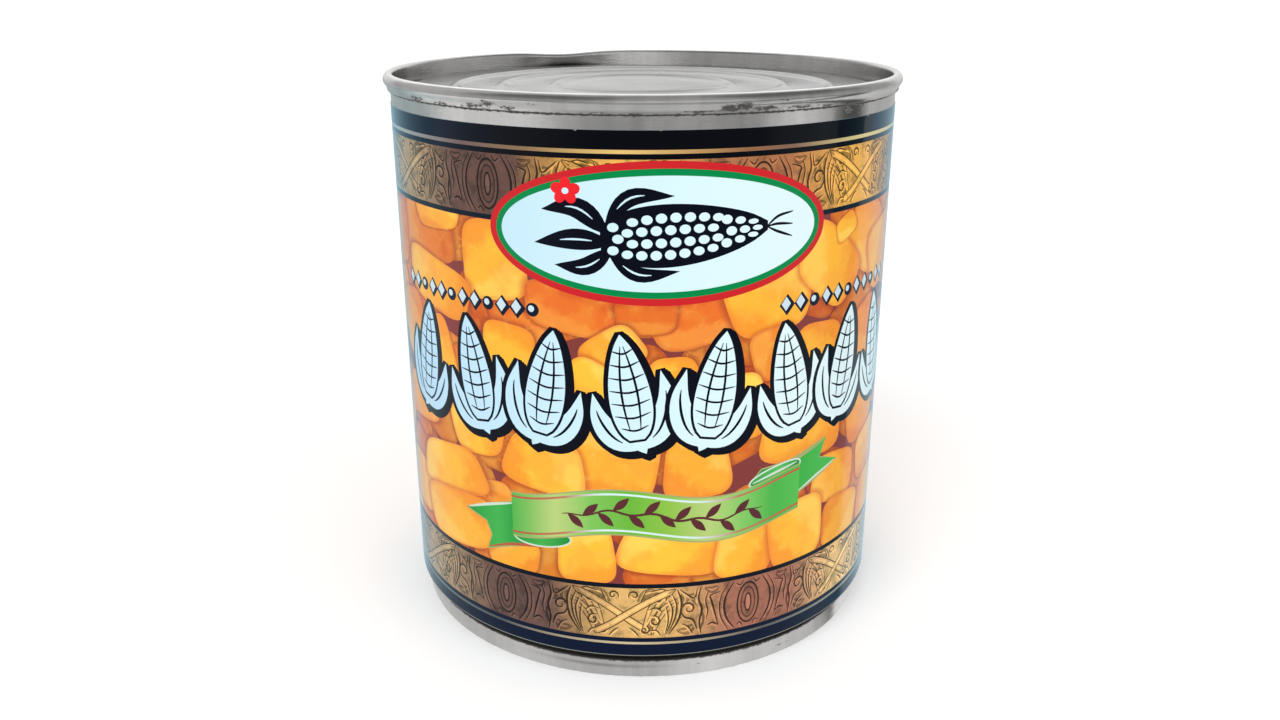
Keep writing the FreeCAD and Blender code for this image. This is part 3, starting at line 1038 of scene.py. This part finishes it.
RIBBON_FACE = (
    # The green and the lime of the ribbon's face, one after the other
    (-22, (66, 176, 72)),
    (-18, (128, 192, 96)),
    (-13.5, (190, 210, 128)),
    (-8, (128, 196, 92)),
    (-2, (106, 183, 60)),
    (4, (142, 194, 74)),
    (10, (184, 208, 124)),
    (16, (128, 200, 100)),
    (21, (74, 180, 76)),
    (27, (92, 192, 84)),
)


def ribbon_wave(u):
    return 0.35 * np.sin(u * 0.9)


def draw_ribbon(sheet):
    pale_line = (206, 226, 208)
    beige = (168, 172, 112)

    def rimmed(outline, rim, rim_paint, greens):
        sheet.add(grown(np.array(outline), rim), rim_paint)
        sheet.add(outline, keyed(greens))

    def line(width, paint, *points):
        sheet.add(stroke(curve(*points), width), paint)

    # Left tail and fold
    tail = [(-31, 25.5), (-27.7, 26.6), (-24.4, 27.9), (-21, 29.1), (-11.7, 29), (-11.7, 24.5)]
    tail += [(-18, 22.4), (-22, 21.3), (-26.5, 19.6), (-25.4, 22.2), (-26.5, 24.5)]
    greens = ((-31, RIBBON_DEEP), (-24, (70, 180, 80)), (-20, (36, 152, 66)), (-12, (96, 184, 96)))
    rimmed(tail, 0.25, beige, greens)
    line(0.5, pale_line, (-30.6, 25.6), (-26, 27.4), (-21, 28.9))
    line(0.5, (186, 92, 66), (-26.2, 19.9), (-21.6, 21.6), (-15, 22.8), (-11.8, 24))
    fold = oval((-16.1, 24), 4.8, 1.35, 36, math.radians(5))
    greens = ((-21, RIBBON_DEEP), (-16, (70, 176, 78)), (-11, (26, 140, 58)))
    rimmed(fold, 0.28, pale_line, greens)
    # Right fold and tail
    tail = [(16.7, 33.2), (18.7, 35), (24, 35.4), (31.9, 37.3), (30.4, 34.2), (35.1, 32.7)]
    tail += [(30, 31), (25.7, 29.4), (25.7, 33.7), (21, 32.6)]
    greens = ((16, (44, 160, 70)), (22, (30, 146, 60)), (26, (58, 176, 68)), (35, (84, 190, 84)))
    rimmed(tail, 0.25, beige, greens)
    line(0.55, beige, (17, 33.6), (21, 34.9), (25.6, 35.5), (31.4, 37))
    fold = oval((21.4, 33.8), 4.7, 1.15, 36, math.radians(12))
    greens = ((16, (40, 150, 66)), (22, (92, 190, 96)), (26, (30, 140, 60)))
    rimmed(fold, 0.3, pale_line, greens)
    line(0.4, pale_line, (17.2, 33), (21, 34), (25.4, 34.9))
    line(0.45, pale_line, (26, 29.7), (30, 31.3), (34.6, 32.6))
    # Face, with a line of rust and pale along each edge
    sheet.add(ribbon_strip(-3.85, 3.85), beige)
    sheet.add(ribbon_strip(-3.6, 3.6), keyed(RIBBON_FACE))
    rust, pale = (190, 120, 92), (216, 238, 236)
    edge = keyed(((-21, (188, 84, 64)), (-12, rust), (-6, pale), (8, pale), (15, rust), (26, (196, 76, 58))))
    sheet.add(ribbon_strip(-3.2, -2.85), edge)
    sheet.add(ribbon_strip(2.85, 3.2), edge)
    # A leafy sprig along the face
    ink = (92, 44, 48)
    stem_u = np.linspace(-12.5, 19, 40)
    sheet.add(stroke(np.stack((stem_u, ribbon_middle(stem_u) + ribbon_wave(stem_u)), axis=1), 0.42), ink)
    for step in range(13):
        u = -11.6 + 2.35 * step
        side = 1 if step % 2 else -1
        foot = np.array((u, ribbon_middle(u) + ribbon_wave(u)))
        sheet.add(leaf(curve(foot, foot + (1.1, side * 0.9), foot + (2.5, side * 2.2)), 1.25, 0.5), ink)


def draw_bands(sheet):
    """The scrolled bands, and the navy bands with their foil lines."""
    sheet.band(PICTURE_HEAD, BAND_TOP_FOOT, (4, 18, 36))
    sheet.band(BAND_LOW_HEAD, PICTURE_FOOT, (4, 12, 26))
    sheet.engraving = True
    sheet.band(BAND_TOP_FOOT, BAND_TOP_HEAD, keyed(SHEEN_TOP))
    sheet.band(BAND_LOW_FOOT, BAND_LOW_HEAD, keyed(SHEEN_LOW))
    draw_ornament(sheet, BAND_TOP_FOOT, BAND_TOP_HEAD, SHEEN_TOP)
    draw_ornament(sheet, BAND_LOW_FOOT, BAND_LOW_HEAD, SHEEN_LOW)
    sheet.engraving = False
    # The navy is black at the front and bluer towards both sides: painted sheen where the paper turns away
    blue, black = (0, 34, 62), (0, 1, 8)
    navy_with_painted_sheen = ((-56, blue), (-38, (0, 22, 46)), (-26, (0, 6, 22)), (-18, black), (39, black), (42, blue))
    # Painted reflections: the foil lines are gold at the front and turn grey, darker or paler, away from it
    foil_top = ((-46, (158, 168, 166)), (-28, (112, 92, 92)), (-16, (140, 112, 80)), (-3, (230, 194, 120)))
    foil_top += ((14, (148, 102, 70)), (22, (128, 98, 80)), (36, (218, 202, 144)))
    foil_low = ((-42, (110, 122, 120)), (-24, (82, 86, 88)), (-2, (208, 190, 154)), (20, (92, 92, 90)))
    foil_low += ((38, (158, 162, 150)),)
    sheet.band(BAND_TOP_HEAD, GOLD_TOP_FOOT, keyed(navy_with_painted_sheen))
    sheet.band(GOLD_TOP_FOOT, NAVY_TOP_FOOT, keyed(foil_top))
    sheet.band(NAVY_TOP_FOOT, LABEL_TOP + 1, keyed(navy_with_painted_sheen))
    sheet.band(GOLD_LOW_HEAD, BAND_LOW_FOOT, NAVY_LOW)
    sheet.band(GOLD_LOW_FOOT, GOLD_LOW_HEAD, keyed(foil_low))
    sheet.band(LABEL_FOOT + BARE_EDGE, GOLD_LOW_FOOT, NAVY_LOW)
    sheet.band(LABEL_FOOT - 1, LABEL_FOOT + BARE_EDGE, PAPER_EDGE)


def draw_label():
    sheet = Print()
    sheet.band(PICTURE_FOOT - 1, PICTURE_HEAD + 1, GAP)
    for kernel in kernels():
        sheet.add(kernel.outline(), None, kernel)
    draw_bands(sheet)
    draw_ribbon(sheet)
    for step, u in enumerate((-40.1, -27.4, -14.6, -1.9, 10.8, 23.4, 35.6, 47.6)):
        draw_ear(sheet, (u, 48.7), math.radians(9 if step % 2 else -9), bool(step % 2))
    draw_chain(sheet, -45, -16.5, 60.9)
    draw_chain(sheet, 21.8, 49, 60.9)
    draw_badge(sheet)
    return sheet


# ---------------------------------------------------------------------------------------
# The label's mesh: the sheet cut along every printed outline, then wrapped round the can
# ---------------------------------------------------------------------------------------
CUT_STEP = 1.25
FILLING = 1.5
# How far out of a kernel its neighbours still shade it, and the mark of a place with no neighbour
SHADED_REACH = 1.6
NO_NEIGHBOUR = 9.0


def holds(outline, places):
    """Which places lie inside an outline."""
    inside = np.zeros(len(places), bool)
    x, y = places[:, 0], places[:, 1]
    for (ax, ay), (bx, by) in zip(outline, np.roll(outline, -1, axis=0)):
        if ay == by:
            continue
        crosses = (ay > y) != (by > y)
        inside ^= crosses & (x < (bx - ax) * (y - ay) / (by - ay) + ax)
    return inside


def sheet_outline():
    """The paper's edge, with a few small nicks along its top."""
    outline = [(SHEET_LEFT, LABEL_FOOT), (SHEET_RIGHT, LABEL_FOOT), (SHEET_RIGHT, LABEL_TOP)]
    nicks = ((88, 0.5, 0.3), (38.6, 0.5, 0.35), (2.4, 0.25, 0.12), (-9.2, 0.3, 0.2), (-71, 0.6, 0.4))
    for u, width, depth in nicks:
        outline += [(u + width, LABEL_TOP), (u, LABEL_TOP - depth), (u - width, LABEL_TOP)]
    outline.append((SHEET_LEFT, LABEL_TOP))
    return np.array(outline)


def divided(outline, spacing):
    """An outline with no side longer than spacing."""
    steps = []
    for start, end in zip(outline, np.roll(outline, -1, axis=0)):
        parts = max(math.ceil(np.linalg.norm(end - start) / spacing), 1)
        steps += [start + (end - start) * part / parts for part in range(parts)]
    return np.array(steps)


def showing(outlines):
    """For each outline, which of its sides don't lie under a later one."""
    lows = np.array([outline.min(axis=0) for outline in outlines])
    highs = np.array([outline.max(axis=0) for outline in outlines])
    for number, outline in enumerate(outlines):
        covered = np.zeros(len(outline), bool)
        over = (lows < highs[number]).all(axis=1) & (highs > lows[number]).all(axis=1)
        over[: number + 1] = False
        for later in np.flatnonzero(over):
            inside = holds(outlines[later], outline)
            covered |= inside & np.roll(inside, -1)
        yield ~covered


def cut_sheet(edge, outlines):
    """Points and triangles of the sheet, cut along its edge and along what shows of the outlines."""
    edge = divided(edge, CUT_STEP)
    outlines = [divided(outline, CUT_STEP) for outline in outlines]
    points, edges = [], []
    for outline, shown in [(edge, np.ones(len(edge), bool)), *zip(outlines, showing(outlines))]:
        used = shown | np.roll(shown, 1)
        index = len(points) + np.cumsum(used) - 1
        points += [Vector(place) for place in outline[used]]
        edges += [(int(index[step]), int(index[(step + 1) % len(outline)])) for step in np.flatnonzero(shown)]
    wide, tall = SHEET_RIGHT - SHEET_LEFT, LABEL_TOP - LABEL_FOOT
    columns, rows = int(wide / FILLING), int(tall / FILLING)
    for column in range(columns + 1):
        for row in range(1, rows):
            v = LABEL_FOOT + tall * (row + (0.4 if column % 2 else 0)) / rows
            points.append(Vector((SHEET_LEFT + wide * column / columns, v)))
    made = delaunay_2d_cdt(points, edges, [], 0, 1e-5, False)
    places = np.array([tuple(point) for point in made[0]])
    faces = np.array(made[2])
    return places, faces[holds(edge, places[faces].mean(axis=1))]


def lift(u):
    """How far the paper stands off the layer below: where it laps over itself at the back."""
    climb = np.clip((u - (BACK - LAP / 2 - 2.5)) / 2.5, 0, 1)
    return PAPER * climb * climb * (3 - 2 * climb)


def wrapped(places, sunk=0.0):
    """Sheet places on the can, and the directions straight out from them."""
    angle = places[:, 0] / LABEL_RADIUS
    out = np.stack((np.sin(angle), -np.cos(angle), np.zeros(len(places))), axis=1)
    radius = (LABEL_RADIUS + lift(places[:, 0]) - sunk)[:, None]
    at = out * radius
    at[:, 2] = places[:, 1]
    return at, out


def build_label():
    sheet = draw_label()
    edge = sheet_outline()
    places, faces = cut_sheet(edge, [outline for outline, paint, kernel in sheet.shapes])
    middles = places[faces].mean(axis=1)
    owner = np.full(len(faces), -1)
    order = np.argsort(middles[:, 0])
    sorted_u = middles[order, 0]
    for number, (outline, paint, kernel) in enumerate(sheet.shapes):
        low, high = outline.min(axis=0), outline.max(axis=0)
        first, last = np.searchsorted(sorted_u, (low[0], high[0]))
        near = order[first:last]
        near = near[(middles[near, 1] > low[1]) & (middles[near, 1] < high[1])]
        owner[near[holds(outline, middles[near])]] = number

    corners = places[faces]
    ink = np.zeros((len(faces), 3, 4))
    ink[..., 3] = 1
    place = np.zeros((len(faces), 3, 3))
    over = np.full((len(faces), 3, 3), NO_NEIGHBOUR)
    tone = np.zeros((len(faces), 3, 3))
    stack = [(number, kernel) for number, (_, _, kernel) in enumerate(sheet.shapes) if kernel]
    chance = random.Random(TONE_SEED)
    for number, (outline, paint, kernel) in enumerate(sheet.shapes):
        mine = np.flatnonzero(owner == number)
        if len(mine) == 0:
            continue
        spots = corners[mine].reshape(-1, 2)
        if kernel is None:
            ink[mine, :, :3] = paint(spots).reshape(-1, 3, 3)
            tone[mine, :, 1] = number in sheet.engraved
            continue
        place[mine, :, :2] = kernel.local(spots).reshape(-1, 3, 2)
        place[mine, :, 2] = chance.random()
        tone[mine] = (1.0, kernel.warm, kernel.light)
        nearest = np.full(len(mine), SHADED_REACH)
        reach = kernel.size.max() + 12
        for later, other in stack:
            if later <= number or np.abs(other.middle - kernel.middle).max() > reach:
                continue
            distance = other.reach(middles[mine])
            closer = distance < nearest
            nearest[closer] = distance[closer]
            over[mine[closer], :, :2] = other.local(corners[mine[closer]].reshape(-1, 2)).reshape(-1, 3, 2)
    return sheet_mesh(places, faces, edge, ink, place, over, tone)


def sheet_mesh(places, faces, edge, ink, place, over, tone):
    """Wraps the sheet round the can and gives its cut edge the paper's thickness."""
    at, out = wrapped(places)
    steps = divided(edge, CUT_STEP)
    outer, _ = wrapped(steps)
    inner, _ = wrapped(steps, PAPER * 0.96)
    ahead = np.roll(steps, -1, axis=0) - steps
    ahead /= np.linalg.norm(ahead, axis=1)[:, None]
    angle = steps[:, 0] / LABEL_RADIUS
    sideways = np.stack((np.cos(angle) * ahead[:, 1], np.sin(angle) * ahead[:, 1], -ahead[:, 0]), axis=1)
    around = np.arange(len(steps))
    low, high = len(places) + around, len(places) + len(steps) + around
    skirt = np.stack((low, high, np.roll(high, -1), np.roll(low, -1)), axis=1)
    mesh = bpy.data.meshes.new("printed_label")
    mesh.from_pydata((np.concatenate((at, outer, inner)) * MM).tolist(), [], faces.tolist() + skirt.tolist())
    mesh.shade_smooth()
    paper = (*linear(PAPER_EDGE), 1.0)
    for name, kind, field, data, rest in (
        ("ink", "FLOAT_COLOR", "color", ink, paper),
        ("kernel_place", "FLOAT_VECTOR", "vector", place, (0.0, 0.0, 0.0)),
        ("kernel_over", "FLOAT_VECTOR", "vector", over, (NO_NEIGHBOUR,) * 3),
        ("kernel_tone", "FLOAT_VECTOR", "vector", tone, (0.0, 0.0, 0.0)),
    ):
        data = np.concatenate((data.reshape(-1, len(rest)), np.tile(rest, (skirt.size, 1))))
        attribute = mesh.attributes.new(name, kind, "CORNER")
        attribute.data.foreach_set(field, data.astype(np.float32).ravel())
    spots = np.pad(np.concatenate((places, steps, steps)), ((0, 0), (0, 1)))
    attribute = mesh.attributes.new("print_place", "FLOAT_VECTOR", "POINT")
    attribute.data.foreach_set("vector", spots.astype(np.float32).ravel())
    mesh.normals_split_custom_set_from_vertices(np.concatenate((out, sideways, sideways)).tolist())
    mesh.materials.append(printed_paper())
    return linked("printed_label", mesh)


def superellipse(graph, local):
    """How far out of a kernel a place in its frame is: 0 in the middle and 1 on the outline."""
    x, y, _ = graph.parts(local)
    across, up = (graph.math("POWER", graph.math("ABSOLUTE", part), KERNEL_POWER) for part in (x, y))
    return graph.math("POWER", across + up, 1 / KERNEL_POWER)


def printed_paper():
    """Glossy printed paper: flat inks from the mesh, and shaded kernels from their own frames."""
    material, graph, shader = principled("glossy_print")
    ink = graph.attribute("ink", "Color")
    local = graph.attribute("kernel_place")
    spot = graph.attribute("print_place")
    is_kernel, warm, light = graph.parts(graph.attribute("kernel_tone"))
    a, b, seed = graph.parts(local)
    covered = 1.0 - graph.smooth(superellipse(graph, graph.attribute("kernel_over")), 1.0, 1.2)
    swell = graph.noise(spot, 0.17, 2.0, 0.5)
    mottle = graph.noise(spot, 0.5, 3.0, 0.6)
    grain = graph.noise(spot, 7.0, 2.0, 0.6)
    worn = graph.noise(spot, 0.42, 4.0, 0.7)

    # A kernel: how much of each tone lies over the ones before it, when yellow and when orange
    tilt = seed * TURN
    lean = a * graph.math("COSINE", tilt) + b * graph.math("SINE", tilt) + (mottle - 0.5) * 0.7
    tones = (
        (1.0, (255, 200, 60), (243, 120, 46)),
        (graph.smooth(lean, 0.15, 0.45) * 0.65, (255, 220, 100), (255, 162, 70)),
        (graph.smooth(-lean, 0.3, 0.75) * 0.75, (248, 156, 42), (222, 94, 42)),
        (graph.smooth(swell, 0.45, 0.62) * 0.4, (252, 158, 60), (252, 158, 60)),
        (graph.smooth(superellipse(graph, local), 0.84, 1.0) * 0.5, (244, 142, 56), (214, 92, 46)),
        (covered * 0.7, (222, 112, 48), (176, 72, 44)),
        (graph.smooth(mottle, 0.52, 0.75) * 0.2, (255, 214, 104), (255, 214, 104)),
    )
    corn = (0, 0, 0)
    for share, yellow, orange in tones:
        corn = graph.mix(share, corn, graph.mix(warm, yellow, orange))
    bright = light * graph.spread(grain, 0.94, 1.06)
    corn = graph.scaled(corn, bright, bright, bright)

    # The engraving: tarnished in places and rubbed bright in others
    engraved = (1.0 - is_kernel) * warm
    tarnish = graph.smooth(worn, 0.47, 0.66) * engraved * 0.62
    shine = graph.smooth(worn, 0.46, 0.3) * engraved * 0.35
    plate = graph.mix(tarnish, ink, graph.mix(1.0, ink, (140, 158, 158), "MULTIPLY"))
    plate = graph.mix(shine, plate, graph.scaled(plate, 1.5, 1.42, 1.3))

    waves = graph.noise(spot, 0.06, 1.0, 0.5)
    fibres = graph.noise(spot, 2.2, 3.0, 0.6)
    looks = {
        "Base Color": graph.mix(is_kernel, plate, corn),
        "Roughness": 0.5,
        "Specular IOR Level": 0.0,
        "Coat Weight": 1.0,
        "Coat Roughness": 0.06,
        "Coat IOR": 1.21,
        "Coat Normal": graph.bump(waves + fibres * 0.02, 0.00035, 0.6),
        "Sheen Weight": 0.9,
        "Sheen Roughness": 0.3,
        "Sheen Tint": (146, 216, 242),
    }
    graph.feed(shader, looks)
    return material


# ---------------------------------------------------------------------------------------
# Pieces
# ---------------------------------------------------------------------------------------
for make, node, slot in (
    (build_wall, "can_body", "tinplate_body"),
    (build_top_end, "top_end", "tinplate_top"),
    (build_bottom_end, "bottom_end", "tinplate_base"),
    (build_label, "paper_label", "label_paper"),
):
    piece = make()
    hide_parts(node)
    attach(piece, "root")


# ---------------------------------------------------------------------------------------
# Stage
# ---------------------------------------------------------------------------------------
# What gloss and metal mirror: a pale table near the can, a dimmer room beyond it that is brighter
# at the left, a dark gap and then a pale panel at the right, and a sky that is dark overhead
TABLE = 0.74
ROOM_FRONT = 0.45
ROOM_LEFT = 0.92
ROOM_RIGHT = 0.78
ROOM_GAP = 0.09
ROOM_PANEL = 0.62
SIDE_TINT = (226, 244, 246)
AMBIENT = 0.72
FLOOR_GLOW = 0.24


def beyond(x, y, start, turn):
    """How far a place on the floor lies behind a line from the can's foot, both in degrees."""
    foot, slant = math.radians(start), math.radians(turn)
    ahead = (y + CAN_RADIUS * MM * math.cos(foot)) * math.sin(slant)
    return ahead + (x - CAN_RADIUS * MM * math.sin(foot)) * math.cos(slant)


def between(start, end, share):
    return start + share * (end - start)


def mirrored_floor(graph, x, y):
    """(strength, how blue) of a place on the floor, as a mirror shows it."""
    turn = graph.math("ARCTAN2", x, -y)
    left = -turn
    radius = graph.math("SQRT", x * x + y * y)
    strip = graph.smooth(turn, 0.85, 1.05) - graph.smooth(turn, 1.42, 1.6)
    room = graph.spread(graph.smooth(left, 0.3, 0.95), ROOM_FRONT, ROOM_LEFT)
    room = room + strip * (ROOM_RIGHT - ROOM_FRONT)
    strength = between(room, TABLE, graph.smooth(radius, 0.26, 0.10))
    reached = graph.math("MAXIMUM", graph.smooth(x, -0.004, 0.004), graph.smooth(y, 0.04, 0.3))
    gap = graph.smooth(beyond(x, y, 45, 93), -0.003, 0.01) * reached
    into = beyond(x, y, 55, 114)
    panel = graph.smooth(into, 0.0, 0.002) * reached
    lit_edge = graph.spread(graph.smooth(into, 0.2, 0.0), ROOM_PANEL, ROOM_PANEL + 0.25)
    strength = between(between(strength, ROOM_GAP, gap), lit_edge, panel)
    return strength, graph.smooth(left, 1.5, 2.2) * graph.smooth(left, 3.1, 2.6)


def mirrored_sky(graph, x, y, z):
    """The strength of a direction above the horizon, as a mirror shows it."""
    turn = graph.math("ARCTAN2", x, -y)
    window = graph.smooth(turn, -0.5, -0.05) - graph.smooth(turn, 0.62, 1.0)
    horizon = graph.spread(window, 0.5, 0.86)
    left = graph.smooth(turn, -1.25, -1.8) * 0.4
    right = graph.smooth(turn, 1.95, 2.1) * 0.3
    overhead = graph.spread(window, 0.17, 0.44) + graph.math("MAXIMUM", left, right)
    ahead = between(horizon, overhead, graph.smooth(z, 0.05, 0.7))
    behind = (graph.smooth(z, 0.12, 0.3) - graph.smooth(z, 0.6, 0.8)) * 0.2 + 0.92
    strength = between(ahead, behind, graph.smooth(graph.math("ABSOLUTE", turn), 2.3, 2.65))
    return graph.math("MAXIMUM", strength, graph.smooth(z, 0.75, 0.97) * 0.42)


def seen_and_mirrored(graph):
    """Whether a ray comes from the camera or through glass, and whether it is a reflection."""
    path = graph.node("ShaderNodeLightPath")
    camera, through, glossy = (
        Value(graph, path.outputs[name]) for name in ("Is Camera Ray", "Is Transmission Ray", "Is Glossy Ray")
    )
    return graph.math("MAXIMUM", camera, through), glossy


def build_floor():
    half = 12.0
    mesh = bpy.data.meshes.new("floor")
    corners = [(-half, -half, 0), (half, -half, 0), (half, half, 0), (-half, half, 0)]
    mesh.from_pydata(corners, [], [(0, 1, 2, 3)])
    material, graph, shader = principled("floor_white")
    seen, mirrored = seen_and_mirrored(graph)
    looks = {"Base Color": (238, 238, 238), "Roughness": 0.9, "Specular IOR Level": 0.0}
    glow = {"Emission Color": (255, 255, 255), "Emission Strength": seen * FLOOR_GLOW}
    graph.feed(shader, looks | glow)
    x, y, _ = graph.parts(graph.value("ShaderNodeTexCoord", (), "Object"))
    strength, blue = mirrored_floor(graph, x, y)
    tint = graph.mix(blue, (255, 255, 255), SIDE_TINT)
    card = graph.value("ShaderNodeEmission", {"Color": tint, "Strength": strength})
    either = graph.blended(mirrored, Value(graph, shader.outputs[0]), card)
    graph.feed(graph.tree.get_output_node("ALL"), {"Surface": either})
    mesh.materials.append(material)
    linked("floor", mesh)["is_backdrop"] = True


def build_world():
    """White to the camera, an even soft light on the object, and the mirrored sky in its gloss."""
    world = bpy.data.worlds.new("studio")
    world.use_nodes = True
    bpy.context.scene.world = world
    graph = Graph(world.node_tree)
    x, y, z = graph.parts(graph.value("ShaderNodeTexCoord", (), "Generated"))
    ambient, pattern, white = (
        graph.value("ShaderNodeBackground", {"Color": (255, 255, 255), "Strength": strength})
        for strength in (AMBIENT, mirrored_sky(graph, x, y, z), 1.0)
    )
    seen, mirrored = seen_and_mirrored(graph)
    shown = graph.blended(seen, graph.blended(mirrored, ambient, pattern), white)
    graph.node("ShaderNodeOutputWorld", {"Surface": shown})


def sun(name, source, strength, width):
    """A far lamp that shines from source toward the can, width degrees wide, and that no mirror shows."""
    lamp = bpy.data.lights.new(name, "SUN")
    lamp.energy = strength
    lamp.angle = math.radians(width)
    holder = linked(name, lamp)
    holder.rotation_euler = Vector(source).to_track_quat("Z", "Y").to_euler()
    holder.visible_glossy = False


def build_lamps():
    sun("key", (-0.6, -1.0, 1.1), 1.05, 35)
    sun("fill", (0.9, -0.7, 0.9), 0.5, 45)


# The camera as fitted to the can's rings: its distance, height and tilt
CAMERA_BACK = 0.19163
CAMERA_HEIGHT = 0.10716
CAMERA_TILT = 19.44
CAMERA_LENS = 31.30
CAMERA_SHIFT = -0.00225


def build_camera():
    camera = bpy.data.cameras.new("camera")
    camera.lens = CAMERA_LENS
    camera.sensor_width = 36.0
    camera.shift_x = CAMERA_SHIFT
    camera.clip_start = 0.01
    camera.clip_end = 50.0
    holder = linked("camera", camera)
    holder.location = (0.0, -CAMERA_BACK, CAMERA_HEIGHT)
    holder.rotation_euler = (math.radians(90 - CAMERA_TILT), 0, 0)
    bpy.context.scene.camera = holder


build_floor()
build_world()
build_lamps()
build_camera()
bpy.context.scene.view_settings.view_transform = "Standard"

shown_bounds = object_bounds()
boxes = {"cad": cad_bounds, "shown": shown_bounds}
{name: [list(corner) for corner in box] for name, box in boxes.items()}
